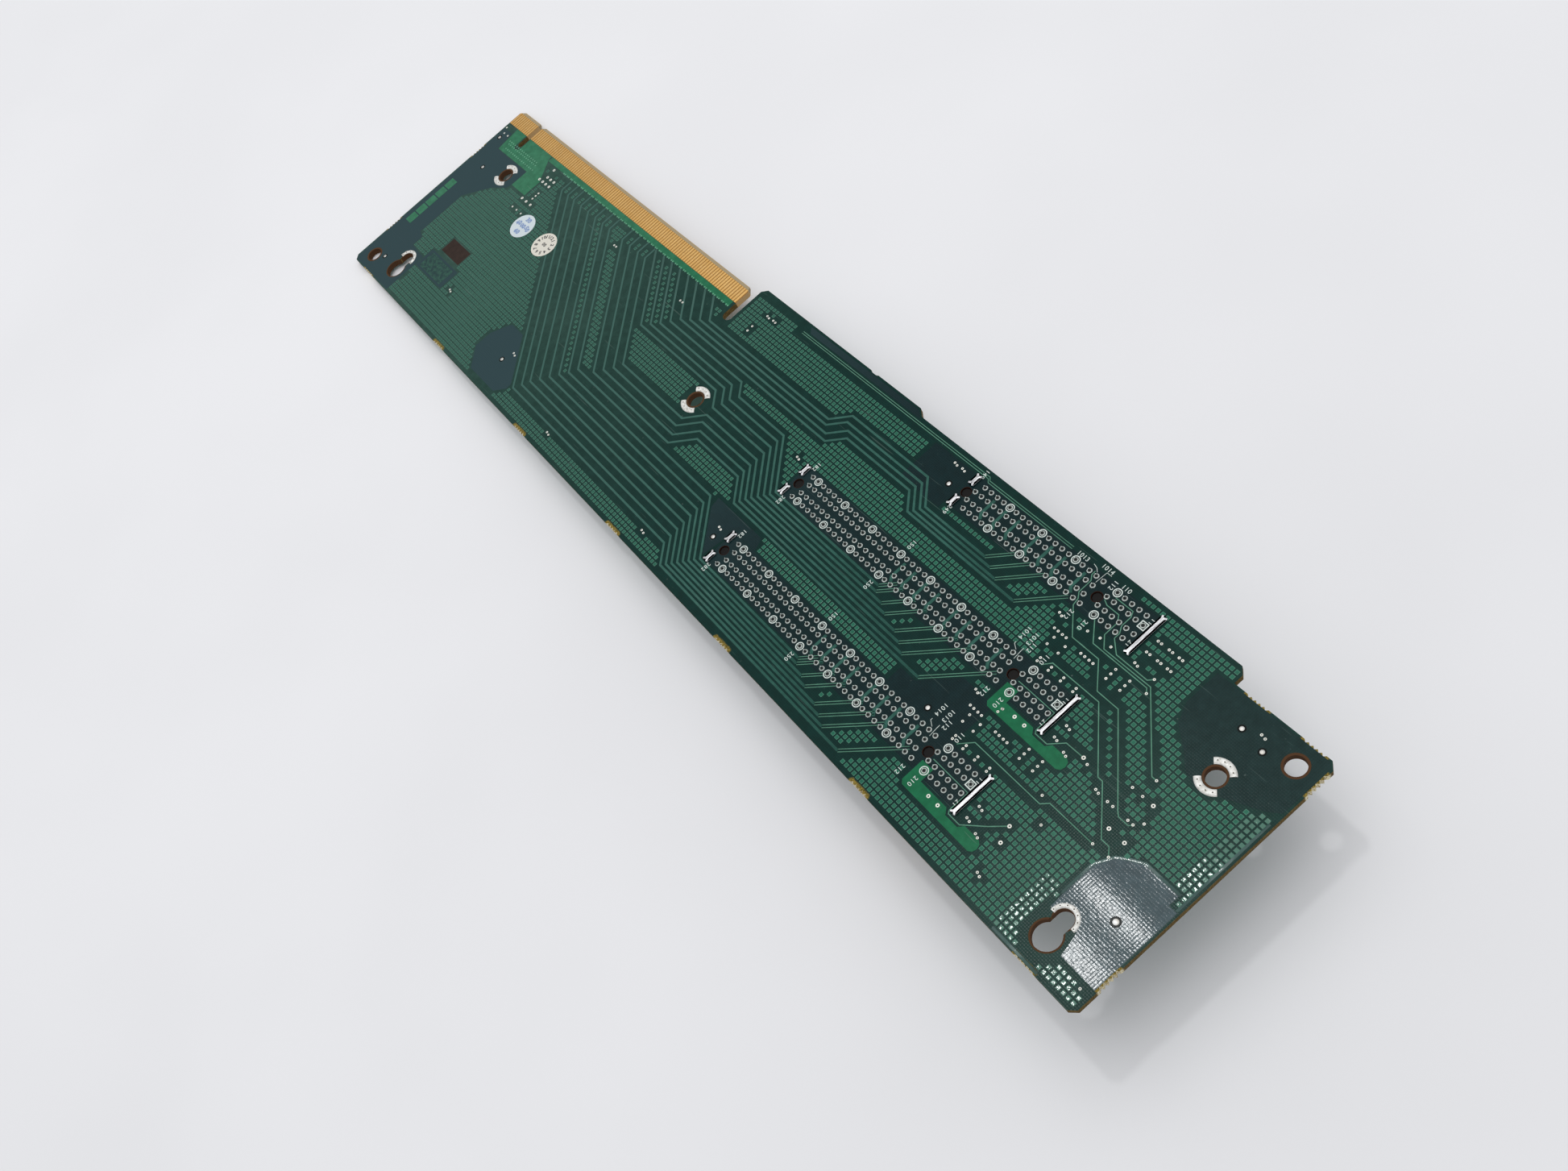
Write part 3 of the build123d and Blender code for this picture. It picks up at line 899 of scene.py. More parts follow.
# X of the turns from the diagonals' rows, and the level each run turns to
MIDDLE_TURNS = ((-124.5, 17.2), (-124.0, 15.2), (-122.5, 13.2), (-121.5, 11.3))
UPPER_TURNS = ((-124.0, 19.5), (-122.6, 21.6), (-121.7, 23.7), (-120.3, 25.7))
TOP_TURNS = ((-88.8, 34.8), (-90.3, 36.3), (-92.2, 37.8), (-93.0, 39.7))
TOP_DROPS = ((-62.2, 30.9), (-61.8, 31.9), (-61.3, 33.1), (-61.5, 34.2))
TOP_ENDS = (-23.8, -30.7, -33.5, -36.3)


def slope_to(start, level):
    """The end of a 45 degree run to the right from a start to another level."""
    return (start[0] + abs(level - start[1]), level)


def low_level(number):
    """Level of one of the bus's lowest runs."""
    return -8.5 - 1.08 * number


def bus_routes():
    """The bus that runs from the gold edge to the three slots."""
    routes = []
    rows = [level for _, level in MIDDLE_TURNS + UPPER_TURNS]
    fans = dict(zip(sorted(rows, reverse=True), zip(FAN_STEPS, FAN_ENDS)))

    def fan_out(route, row):
        level, end = fans[row]
        turn = (-98.4, row)
        return route + [turn, slope_to(turn, level), (end, level)]

    for index, (row, total) in enumerate(zip(LOWER_ROWS, LOWER_SUMS)):
        start = (total - BEND_LEVEL, STRIP_LEVEL)
        route = [start, (total - BEND_LEVEL, BEND_LEVEL), (total - row, row)]
        if index < 4:
            turn_x, level = MIDDLE_TURNS[index]
            turn = (turn_x, row)
            route += [turn, slope_to(turn, level)]
            routes.append(fan_out(route, level))
        else:
            lower = index - 4
            level = low_level(lower)
            turn = (-99.7 + 0.18 * lower, row)
            route += [turn, slope_to(turn, level), (FAN_ENDS[lower], level)]
            routes.append(route)
    for (row, total), (turn_x, level) in zip(zip(UPPER_ROWS, UPPER_SUMS), UPPER_TURNS):
        start = (total - STRIP_LEVEL, STRIP_LEVEL)
        turn = (turn_x, row)
        route = [start, (total - row, row), turn, slope_to(turn, level)]
        routes.append(fan_out(route, level))
    places = zip(TOP_ROWS, TOP_SUMS, TOP_TURNS, TOP_DROPS, TOP_ENDS)
    for row, total, (turn_x, level), (drop_x, low), end in places:
        start = (total - STRIP_LEVEL, STRIP_LEVEL)
        turn = (turn_x, row)
        drop = (drop_x, level)
        route = [start, (total - row, row), turn, slope_to(turn, level)]
        routes.append(route + [drop, slope_to(drop, low), (end, low)])
    return routes


def fan_routes():
    """Paired lines that rise from the bus to the contacts."""
    routes = []
    rises = [(end, level, 17.6) for end, level in zip(FAN_ENDS, FAN_STEPS)]
    rises += [(end, low_level(number), -5.3) for number, end in enumerate(FAN_ENDS)]
    rises += [(-36.3, 34.2, 38.6), (-33.5, 33.1, 39.2), (-30.7, 31.9, 39.2), (-23.8, 30.9, 38.8)]
    for start_x, start_y, top in rises:
        for shift in (-0.22, 0.22):
            first = (start_x + shift, start_y - shift)
            routes.append([first, slope_to(first, top - shift)])
    # One pair follows the board's edge past slot 3
    for level in (47.75, 48.3):
        low = level - 0.7
        routes.append([(-119.0, level), (-50.3, level), (-49.6, low), (-23.5, low)])
    return routes


def single_routes():
    """Single traces of the stepped end, the same at slots 1 and 2 where they repeat."""
    routes = [
        [(-8.5, 44.7), (-3.7, 44.7), (-3.1, 43.5), (-3.1, 41.0), (-2.2, 39.6), (-2.2, 38.2)]
        + [(0.7, 35.9), (9.0, 35.9), (9.9, 36.9)],
        [(-9.9, 43.0), (-8.6, 42.4), (-5.3, 42.4), (-4.2, 41.0), (-4.2, 37.5), (-2.0, 35.2)]
        + [(10.5, 35.3), (23.7, 22.5), (24.9, 22.5)],
        [(-8.3, 38.8), (-4.5, 34.7), (10.1, 34.7), (10.9, 33.8)],
        [(-16.0, 46.4), (-16.0, 45.4), (-15.1, 44.3), (-15.1, 41.0), (-14.1, 39.8), (-13.8, 38.2)]
        + [(-8.6, 33.0), (-1.2, 33.0), (3.6, 28.0), (9.3, 28.0), (24.1, 13.5)]
        + [(25.0, 12.8), (27.5, 12.8), (28.0, 13.5)],
        [(-8.8, 24.7), (-7.3, 26.5), (5.5, 26.6), (16.6, 15.7), (17.8, 15.7), (25.9, 7.6)]
        + [(27.9, 7.6), (29.3, 6.1)],
        [(-8.5, 1.8), (-6.0, 4.5), (12.6, 4.5), (13.9, 5.9), (25.4, 5.9)],
    ]
    ends = {0.0: [(7.2, 16.5), (11.4, 16.6)], -SLOT_PITCH: [(8.8, 17.4), (11.6, 20.2)]}
    for drop, end in ends.items():
        shape = [(-9.5, 19.3), (0.9, 19.3), (0.9, 14.5), (1.3, 13.8), (4.6, 13.8)] + end
        routes.append([(x, y + drop) for x, y in shape])
    return routes


def link_routes():
    """Short broad traces that cross between the contact rows."""
    routes = []
    for middle in SLOT_MIDDLES:
        # The short slot doesn't reach the first of them
        first = 1 if middle == SLOT_MIDDLES[2] else 0
        for x in (-48.5, -45.0, -41.0, -37.0, -31.0, -27.0, -23.0, -17.3)[first:]:
            routes.append([(x, middle + 2.4), (x, middle - 1.6), (x + 1.0, middle - 2.8)])
    return routes


def bright_planes():
    planes = [
        [
            (-259.0, 43.2), (-258.0, 35.0), (-240.3, 35.0), (-240.3, 29.2), (-232.6, 29.2),
            (-232.6, 35.0), (-237.8, 42.0), (-237.8, 43.2), (-250.9, 43.2), (-250.9, 38.6),
            (-252.2, 37.9), (-253.6, 38.6), (-253.6, 43.2),
        ],
        [(-237.3, 41.5), (-143.0, 41.5), (-143.0, 43.2), (-237.3, 43.2)],
    ]
    for drop in (0.0, -SLOT_PITCH):
        shape = [
            (-11.0, 17.7), (-7.8, 17.7), (-7.8, 14.4), (0.1, 14.4), (1.1, 13.2), (4.6, 13.2),
            (5.6, 14.4), (9.6, 14.4), (10.4, 13.9), (10.7, 12.9), (10.4, 11.9), (9.6, 11.4),
            (-10.2, 11.4), (-11.0, 12.2),
        ]
        planes.append([(x, y + drop) for x, y in shape])
    for low in (0.5, 4.3, 8.1, 11.9, 15.7):
        planes.append([(-262.0, low), (-259.0, low), (-259.0, low + 3.4), (-262.0, low + 3.4)])
    return planes


def keyhole_outline(x, low_y, high_y, low_radius, high_radius):
    """A round entry with a narrower neck above it."""
    start = math.degrees(math.acos(high_radius / low_radius))
    entry = arc(x, low_y, low_radius, start, -180 - start, 24)
    return entry + arc(x, high_y, high_radius, 180, 0, 14)


def holes_within(zones):
    """Outlines of the holes and their bare rims that lie in some zone."""
    holes = [(x, y, circle(x, y, PEG_RIM, 16)) for x, y in PEG_PLACES]
    holes += [(rim[0], rim[1], circle(*rim)) for rim in ROUND_RIMS]
    for (x, low_y, low_radius), (_, high_y, high_radius) in zip(KEYHOLE_ENTRIES, NECK_RIMS):
        holes.append((x, low_y, keyhole_outline(x, low_y, high_y, low_radius, high_radius)))
    centres = np.array([hole[:2] for hole in holes])
    held = np.any([inside_outline(centres, zone) for zone in zones], axis=0)
    return [outline for (_, _, outline), inside in zip(holes, held) if inside]


def keyhole_zone():
    """The wet-looking dark area round the right keyhole."""
    return [
        (28.4, -4.0), (28.4, 3.2), (30.4, 6.8), (32.6, 8.4), (35.0, 9.6), (43.2, 9.6), (43.2, 7.2),
        (45.2, 7.2), (45.2, -12.6), (36.6, -12.6), (35.8, -9.0), (35.4, -7.65),
    ] + arc(*KEYHOLE_NECKS["right"], NECK_RIM, 0, 180, 10) + [(28.6, -7.65)]


KEYHOLE_LIPS = (
    [(28.2, -4.4), (28.2, 3.3), (30.2, 7.0), (32.5, 8.6), (35.0, 9.9), (43.4, 9.9)],
    [(44.9, 7.4), (44.9, 30.0)],
    [(24.0, -17.9), (36.0, -17.9)],
)


# How far the dark strip reaches past a slot's middle, last contact and first contact
STRIP_HALF = 4.6
STRIP_PAST_LAST = 3.6
STRIP_PAST_FIRST = 2.4


def slot_zone(slot, upper=()):
    """The dark strip under a slot's pins, with extra corners along its upper side."""
    start = contact_x(SLOT_COUNTS[slot]) - STRIP_PAST_LAST
    low = SLOT_MIDDLES[slot] - STRIP_HALF
    top = SLOT_MIDDLES[slot] + STRIP_HALF
    right_side = [(STRIP_PAST_FIRST, low), (STRIP_PAST_FIRST, top)]
    return [(start, low)] + right_side + list(upper) + [(start, top)]


BROWN_PANE = [(-239.0, 1.3), (-228.5, 1.3), (-228.5, 6.2), (-239.0, 6.2)]
GRANULAR_PATCH = [(-240.6, -6.4), (-227.6, -6.4), (-227.6, -0.9), (-240.6, -0.9)]


def dark_zones():
    return [
        # Round the left screw hole and keyhole
        [
            (-263.9, -17.2), (-263.0, -18.2), (-242.2, -18.2), (-242.2, -4.0), (-250.0, -3.5),
            (-250.0, 0.0), (-252.5, 1.0), (-252.5, 17.0), (-246.0, 24.5), (-241.0, 27.5),
            (-240.5, 29.0), (-240.5, 34.8), (-258.2, 34.8), (-259.2, 41.0), (-263.9, 41.0),
        ],
        # Round the bright dot among the diagonals
        [
            (-193.0, 0.0), (-187.0, 0.0), (-175.2, -11.6), (-175.2, -13.2), (-178.0, -16.2),
            (-191.0, -16.2), (-196.6, -11.0), (-196.6, -6.0), (-194.0, -1.2),
        ],
        [(-241.9, -7.0), (-226.0, -7.0), (-226.0, -0.3), (-241.9, -0.3)],
        # Along the shoulder
        [(-117.0, 48.9), (-74.8, 48.9), (-77.0, 50.4), (-118.5, 50.4)],
        # Left of slot 3
        [(-67.0, 36.0), (-53.7, 36.0), (-53.7, 47.0), (-67.0, 47.0)],
        # Left of slot 1
        [(-97.5, 4.6), (-80.0, 4.6), (-78.5, 1.4), (-86.7, 1.4), (-88.0, -7.5), (-97.0, 2.0)],
        slot_zone(
            0,
            [(-9.2, 1.35), (-9.2, 12.4), (-18.4, 12.4), (-25.6, 5.2), (-30.2, 5.2), (-30.2, 1.35)],
        ),
        slot_zone(1),
        slot_zone(2),
        # Round the right screw hole
        [
            (17.6, 45.6), (17.6, 37.4), (19.5, 33.4), (24.0, 30.2), (27.5, 27.2), (31.0, 26.2),
            (36.0, 28.2), (42.8, 31.2), (45.2, 33.0), (45.2, 44.6), (44.2, 45.6),
        ],
    ]


LARGE_DOT = (38.9, -1.4)
LARGE_DOT_RADIUS = 0.62 * MM
SMALL_DOT_RADIUS = 0.48 * MM
DOT_RISE = 0.1 * MM
COLLAR_RISE = 0.014 * MM
FIDUCIALS = (
    (28.7, 40.2), (34.5, 39.2), (-18.9, 3.0), (-56.4, 41.5), (-89.9, -2.8), (-185.2, -8.6),
    (-256.3, 27.6), (-254.8, -11.7), (-262.0, 37.8),
)


def via_places():
    """Small vias in plan millimetres."""
    places = [
        (32.1, 41.6), (33.1, 41.4), (22.7, 18.6), (25.3, 18.6), (29.3, 15.0), (18.1, 13.7),
        (19.0, 13.5), (21.4, 13.5), (22.8, 13.5), (26.7, 13.5), (11.7, 6.0), (15.9, 1.8),
        (14.2, -12.9), (15.1, -13.2), (13.3, 16.1), (43.2, -14.2), (4.6, 37.0), (5.5, 36.8),
        (-4.3, 36.4), (-1.3, 36.4), (-59.4, 46.0), (-58.5, 45.8), (-56.9, 46.0), (-56.0, 45.8),
        (-156.2, 34.7), (-155.1, 34.7), (-189.8, 34.8), (-188.8, 34.8), (-183.8, -5.2),
        (-182.8, -5.5), (-131.1, 45.7), (-130.2, 45.5), (-128.6, 45.7), (-127.6, 45.6),
        (-132.0, 41.3), (-132.0, 39.7), (-152.4, -13.5), (-151.4, -13.7), (-106.0, -13.5),
        (-105.0, -13.7), (-90.8, 24.0), (-89.9, 23.8), (-90.8, -0.2), (-89.9, -0.4),
        (-222.5, -5.2), (-221.6, -5.5), (9.9, 36.9), (24.9, 22.5), (10.9, 33.8), (28.0, 13.5),
        (29.3, 6.1), (25.4, 5.9), (-7.4, 13.0), (-7.6, 12.0), (-228.9, 32.3), (-228.9, 31.2),
        (-228.9, 30.0), (-232.3, 24.5), (-229.9, 24.5), (-227.3, 24.5), (-263.3, 41.5),
        (-262.0, 39.7), (-259.8, 39.7),
    ]
    for x in (4.6, 5.5, 7.5, 8.4, 10.1, 11.0):
        places += [(x, 43.2), (x, 40.1)]
    for drop in (0.0, -SLOT_PITCH):
        for x in (2.9, 6.7):
            places += [(x, y + drop) for y in (33.6, 32.3, 31.0)]
        places += [(x, 32.1 + drop) for x in (-12.8, -11.7, -10.5, -9.4)]
        places += [(x, 31.6 + drop) for x in (-4.7, -3.6, -2.4, -1.3)]
        places += [(x, y + drop) for x in (-11.3, -8.1) for y in (30.6, 28.7)]
        places += [(x, y + drop) for x in (-10.0, -6.8, -3.3, 0.2) for y in (25.7, 24.8)]
        places += [(4.6, 19.0 + drop), (5.6, 18.8 + drop), (4.6, 15.8 + drop)]
        places += [(5.5, 15.6 + drop), (8.2, 14.8 + drop), (9.1, 14.5 + drop)]
        places += [(-14.6, 35.2 + drop), (-13.7, 34.9 + drop), (-7.3, 35.9 + drop)]
    return places


VIA_RISE = 0.05 * MM

# Outer and inner radius, height and sides of a large via
LARGE_VIA_SHAPE = (0.43 * MM, 0.19 * MM, 0.06 * MM, 12)
LARGE_VIAS = (
    (28.0, 18.6), (25.4, 10.0), (29.4, 10.0), (13.0, -5.9), (11.8, 16.6), (11.8, -2.5),
    (-4.3, 13.5), (-1.5, 13.5), (-4.3, -9.4), (-1.5, -9.4),
    (-232.2, 40.4), (-231.7, 37.6), (-229.9, 37.6), (-228.0, 37.6), (-233.6, 35.7),
    (-231.7, 35.7), (-229.9, 35.7), (-228.0, 35.7), (-232.3, 28.2), (-229.9, 28.2),
    (-227.4, 28.2),
)


def covered_via_places():
    """Vias under the mask: pairs along the gold edge, and three rows at the left end."""
    places = [(start + 2.0 * step, 41.5) for start in (-228.0, -227.3) for step in range(43)]
    for row, y in enumerate((38.9, 38.0, 36.4)):
        places += [(-257.0 + 0.7 * row + 1.1 * step, y) for step in range(16)]
    return places


def all_copper_routes():
    return bus_routes() + fan_routes() + single_routes() + link_routes()


def away_from_routes(points, routes):
    """Distance of each point from the nearest route."""
    nearest = np.full(len(points), 1e9)
    for route in routes:
        for start, end in zip(route, route[1:]):
            first = np.array(start)
            run = np.array(end) - first
            share = ((points - first) @ run) / max(run @ run, 1e-9)
            foot = first + np.clip(share, 0, 1)[:, None] * run
            nearest = np.minimum(nearest, np.hypot(*(points - foot).T))
    return nearest


def inside_outline(points, outline):
    """Which points lie inside an outline."""
    inside = np.zeros(len(points), bool)
    x, y = points.T
    for (x1, y1), (x2, y2) in zip(outline, outline[1:] + outline[:1]):
        crosses = (y1 > y) != (y2 > y)
        if y1 != y2:
            inside ^= crosses & (x < (x2 - x1) * (y - y1) / (y2 - y1) + x1)
    return inside


# Copper squares: their dome, and the columns and rows of the even grid they keep to
SQUARE_DOME = 0.02
GRID_START = (-67.5, -16.8)
GRID_COLUMNS = np.arange(-154, 89)
GRID_ROWS = np.arange(0, 53)

# Limits of the squares; each upper level holds to the left of its X
FIELD_LEFT = -262.5
FIELD_RIGHT = 44.6
FIELD_LOW = -17.2
FIELD_TOP = 44.6
FIELD_STEPS = ((21.3, 48.4), (-5.0, 45.8), (-121.0, 48.8), (-138.2, 40.2))

# Middle, half width and lower end of the key notch, and of the gap in the left plane
FIELD_NOTCHES = ((-140.4, 2.9, 35.0), (-252.2, 1.8, 38.0))

# Room left round what the squares and the lower vias keep clear of
LARGE_VIA_EXTRA = 0.4
RIM_CLEAR = 2.2
SCAR_CLEAR_X = 1.1
SCAR_CLEAR_Y = 1.4
ZONE_CLEAR = 0.7
STICKER_CLEAR = 3.6
PART_CLEAR = 1.2
PART_CLEAR_OF_VIAS = 0.5

# Squares to the right of one line, or in the corner below a point, look wet
WET_RIGHT = 40.8
WET_CORNER = (23.0, -3.5)

STICKERS = {"white": (-222.33, 22.18), "cream": (-209.67, 22.18)}


def distance_to(points, place):
    return np.hypot(points[:, 0] - place[0], points[:, 1] - place[1])


def within_board(points, gap):
    """Which squares of the grid are clear of the holes, vias and edges."""
    x, y = points.T
    upper = np.full(len(points), FIELD_TOP)
    for limit, level in FIELD_STEPS:
        upper = np.where(x < limit, level, upper)
    kept = (x > FIELD_LEFT) & (x < FIELD_RIGHT) & (y > FIELD_LOW) & (y < upper)
    for notch_x, reach, low in FIELD_NOTCHES:
        kept &= (np.abs(x - notch_x) > reach) | (y < low)
    for place in via_places():
        kept &= distance_to(points, place) > gap
    for place in LARGE_VIAS + FIDUCIALS + (LARGE_DOT,):
        kept &= distance_to(points, place) > gap + LARGE_VIA_EXTRA
    for rim in ALL_RIMS:
        kept &= distance_to(points, rim) > rim[2] + RIM_CLEAR
    for middle_x, middle_y, half_x, half_y in scar_places():
        beside = np.abs(x - middle_x) > half_x + SCAR_CLEAR_X
        kept &= beside | (np.abs(y - middle_y) > half_y + SCAR_CLEAR_Y)
    return kept


def kept_squares(points, gap):
    """Which squares of the top stay clear of everything else in the copper."""
    kept = within_board(points, gap)
    kept &= away_from_routes(points, all_copper_routes()) > gap
    for outline in bright_planes() + dark_zones() + [keyhole_zone(), BROWN_PANE]:
        kept &= ~inside_outline(points, outline)
        kept &= away_from_routes(points, [outline + outline[:1]]) > ZONE_CLEAR
    for place in STICKERS.values():
        kept &= distance_to(points, place) >= STICKER_CLEAR
    return kept


def clear_under(points, gap):
    """Which points of the underside are clear of the housings and capacitors."""
    kept = np.ones(len(points), bool)
    for slot in (1, 2, 3):
        for part in ("housing", "bulk_capacitor", "ceramic_capacitor"):
            low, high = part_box("slot_%d_%s" % (slot, part))
            first = np.array([low.x, low.y]) / MM - (PLAN_X + gap, PLAN_Y + gap)
            last = np.array([high.x, high.y]) / MM - (PLAN_X - gap, PLAN_Y - gap)
            kept &= np.any((points < first) | (points > last), axis=1)
    return kept


def select_each(piece, chosen):
    """In edit mode, selects the faces that are chosen by their number."""
    bpy.ops.mesh.select_mode(type="FACE")
    mesh = bmesh.from_edit_mesh(piece.data)
    for face in mesh.faces:
        face.select_set(bool(chosen[face.index]))
    bmesh.update_edit_mesh(piece.data)


def square_field(sizes, choose, level, rise, dome):
    """Raised squares on the board's even grid, where the choice keeps them."""
    pitch = sizes.square_pitch / MM
    columns, rows = len(GRID_COLUMNS), len(GRID_ROWS)
    middle_x = GRID_START[0] + pitch * GRID_COLUMNS.mean()
    middle_y = GRID_START[1] + pitch * GRID_ROWS.mean()
    start_clean()
    bpy.ops.mesh.primitive_grid_add(
        x_subdivisions=columns,
        y_subdivisions=rows,
        size=1.0,
        location=plan(middle_x, middle_y, level),
    )
    piece = bpy.context.object
    if len(piece.data.polygons) != columns * rows:
        raise RuntimeError("the grid has %d squares" % len(piece.data.polygons))
    edit(piece)
    bpy.ops.mesh.select_all(action="SELECT")
    bpy.ops.transform.resize(value=(sizes.square_pitch * columns, sizes.square_pitch * rows, 1.0))
    leave()
    settle(piece)
    centres = np.array([tuple(face.center) for face in piece.data.polygons])
    kept = choose(centres[:, :2] / MM - np.array([PLAN_X, PLAN_Y]))
    edit(piece)
    select_each(piece, ~kept)
    bpy.ops.mesh.delete(type="FACE")
    bpy.ops.mesh.select_all(action="SELECT")
    rim = (sizes.square_pitch - sizes.square_size) / 2
    bpy.ops.mesh.inset(thickness=rim, use_individual=True)
    bpy.ops.mesh.select_all(action="INVERT")
    bpy.ops.mesh.delete(type="FACE")
    bpy.ops.mesh.select_all(action="SELECT")
    bpy.ops.mesh.extrude_region_move(TRANSFORM_OT_translate={"value": (0, 0, rise)})
    if dome:
        bpy.ops.mesh.inset(thickness=0.11 * MM, use_individual=True)
        bpy.ops.transform.translate(value=(0, 0, dome))
    turn_outwards()
    leave()
    return piece


# Pieces


class RISER_OT_board(bpy.types.Operator):
    """Gives the board its solder mask, bare laminate and broken edges"""

    bl_idname = "riser.board"
    bl_label = "Board"

    def execute(self, context):
        repaint("printed_circuit_board", board_material(context.scene.riser_colours))
        return {"FINISHED"}


class RISER_OT_dark_zones(bpy.types.Operator):
    """Adds the darker areas of mask where no layer carries copper"""

    bl_idname = "riser.dark_zones"
    bl_label = "Dark zones"

    def execute(self, context):
        colours = context.scene.riser_colours
        zones = plates(dark_zones() + holes_within(dark_zones()), SKIN, TOP)
        dark = mask_material("dark_mask", colours.dark, 1.0, 0.014, wear_and_sheen_colour=linear(46, 66, 70))
        finish(zones, "dark_zones", dark)
        wet_zone = plates([keyhole_zone()], SKIN, TOP)
        # Painted reflection: the keyhole zone's mask is painted a pale grey-blue, standing in for
        # the room's reflection in its gloss
        wet = wet_material("wet_mask_painted_reflection", linear(54, 68, 76), WET_GLOSS)
        finish(wet_zone, "keyhole_zone", wet)
        # The mask stands up in a lip where it meets the copper squares
        lips = strips(KEYHOLE_LIPS, crown_profile(0.7 * MM, 0.03 * MM, 4), TOP)
        shiny = wet_material("wet_lip_mask", linear(54, 82, 78), 3.0 * WET_GLOSS, 7.0)
        finish(lips, "keyhole_lips", shiny)
        brown = mask_material("brown_mask", colours.window, 1.0, 0.01, painted_sheen=0.1)
        finish(plates([BROWN_PANE], SKIN, TOP), "brown_window", brown)
        patch = plates([GRANULAR_PATCH], 2 * SKIN, TOP)
        finish(patch, "granular_patch", granular_material())
        return {"FINISHED"}


class RISER_OT_planes(bpy.types.Operator):
    """Adds the broad copper planes under the mask"""

    bl_idname = "riser.planes"
    bl_label = "Copper planes"

    def execute(self, context):
        sizes = context.scene.riser_sizes
        colours = context.scene.riser_colours
        piece = plates(bright_planes(), sizes.copper_rise, TOP)
        material = mask_material("plane_mask", colours.plane, 0.25, 0.01)
        finish(piece, "copper_planes", material)
        return {"FINISHED"}


class RISER_OT_traces(bpy.types.Operator):
    """Adds the traces under the mask"""

    bl_idname = "riser.traces"
    bl_label = "Traces"

    def execute(self, context):
        sizes = context.scene.riser_sizes
        colours = context.scene.riser_colours
        rise = sizes.copper_rise
        broad = mask_material("trace_mask", colours.trace, 0.3, 0.01, wear_and_sheen_colour=linear(62, 96, 88))
        fine = mask_material("fine_trace_mask", colours.fine, 0.3, 0.01)
        for name, routes, section, material in (
            ("bus_traces", bus_routes(), paired_profile(sizes.trace_width, rise), broad),
            ("fan_traces", fan_routes(), flat_profile(0.8 * sizes.thin_width, rise), fine),
            ("single_traces", single_routes(), flat_profile(sizes.thin_width, rise), fine),
            ("link_traces", link_routes(), flat_profile(sizes.link_width, rise), broad),
        ):
            finish(strips(routes, section, TOP), name, material)
        return {"FINISHED"}


class RISER_OT_squares(bpy.types.Operator):
    """Fills the empty areas of the board with small copper squares"""

    bl_idname = "riser.squares"
    bl_label = "Copper squares"

    def execute(self, context):
        sizes = context.scene.riser_sizes
        colours = context.scene.riser_colours
        gap = sizes.copper_gap / MM
        rise = sizes.copper_rise
        piece = square_field(
            sizes, lambda points: kept_squares(points, gap), TOP, rise, SQUARE_DOME * MM
        )
        edit(piece)
        right = plan(WET_RIGHT, 0.0).x
        corner = plan(*WET_CORNER)
        choose_faces(
            piece,
            lambda middle, normal: middle.x > right
            or (middle.x > corner.x and middle.y < corner.y),
        )
        bpy.ops.mesh.separate(type="SELECTED")
        leave()
        wet_piece = [each for each in context.selected_objects if each != piece][0]
        # Painted highlight: the squares are painted paler on their flanks, below their flat tops
        crown = rise / MM + SQUARE_DOME - 0.002
        material = mask_material(
            "square_mask", colours.copper, 0.2, 0.01, wear_and_sheen_colour=linear(50, 90, 78), highlight_below=crown
        )
        finish(piece, "copper_squares", material)
        wet = wet_material("wet_square_mask", colours.copper, 2.5 * WET_GLOSS, 9.0)
        finish(wet_piece, "corner_squares", wet)
        lower = square_field(
            sizes,
            lambda points: within_board(points, gap) & clear_under(points, PART_CLEAR),
            UNDER, -rise, 0.0,
        )
        plain = mask_material("lower_square_mask", colours.copper, 0.2, 0.01)
        finish(lower, "lower_squares", plain)
        return {"FINISHED"}


class RISER_OT_vias(bpy.types.Operator):
    """Adds the tinned vias and the bright alignment dots"""

    bl_idname = "riser.vias"
    bl_label = "Vias"

    def execute(self, context):
        sizes = context.scene.riser_sizes
        colours = context.scene.riser_colours
        tinned = metal_material("via_tin", colours.tin, linear(176, 176, 168), 0.42, 0.8, 0.01, 0.1)
        small = (sizes.via_radius, sizes.via_hole, VIA_RISE, 10)
        # The same vias come out under the board, save where a part covers them
        every = np.array(via_places() + list(LARGE_VIAS))
        below = every[clear_under(every, PART_CLEAR_OF_VIAS)]
        for name, shape, spots, level in (
            ("small_vias", small, via_places(), TOP),
            ("large_vias", LARGE_VIA_SHAPE, LARGE_VIAS, TOP),
            ("lower_vias", small, below, UNDER - VIA_RISE),
        ):
            finish(spread(ring(*shape), spots, level), name, tinned, smooth=30)
        stain = linear(150, 140, 120)
        bright = metal_material("dot_tin", tuple(colours.dots), stain, 0.3, 0.8, 0.01)
        dots = []
        collars = []
        for size, spots in ((SMALL_DOT_RADIUS, FIDUCIALS), (LARGE_DOT_RADIUS, [LARGE_DOT])):
            dots.append(spread(button(size, DOT_RISE, 14), spots))
            collars.append(spread(ring(1.75 * size, size, COLLAR_RISE, 18), spots))
        finish(merge(dots), "alignment_dots", bright, smooth=50)
        bare = mask_material("bare_collar", linear(6, 7, 7), 0.6, 0.01, painted_sheen=0.2)
        finish(merge(collars), "alignment_collars", bare)
        masked = mask_material("bump_mask", linear(88, 150, 118), 0.0, 0.005)
        bumps = spread(button(0.27 * MM, 0.07 * MM, 8), covered_via_places())
        finish(bumps, "covered_vias", masked, smooth=60)
        return {"FINISHED"}


# Outer and inner radius of the printed circles, and of the squares to their corners
PRINTED_CIRCLE = (1.02 * MM, 0.8 * MM)
PRINTED_SQUARE = (1.3 * MM, 1.06 * MM)
LEADER_WIDTH = 0.16 * MM


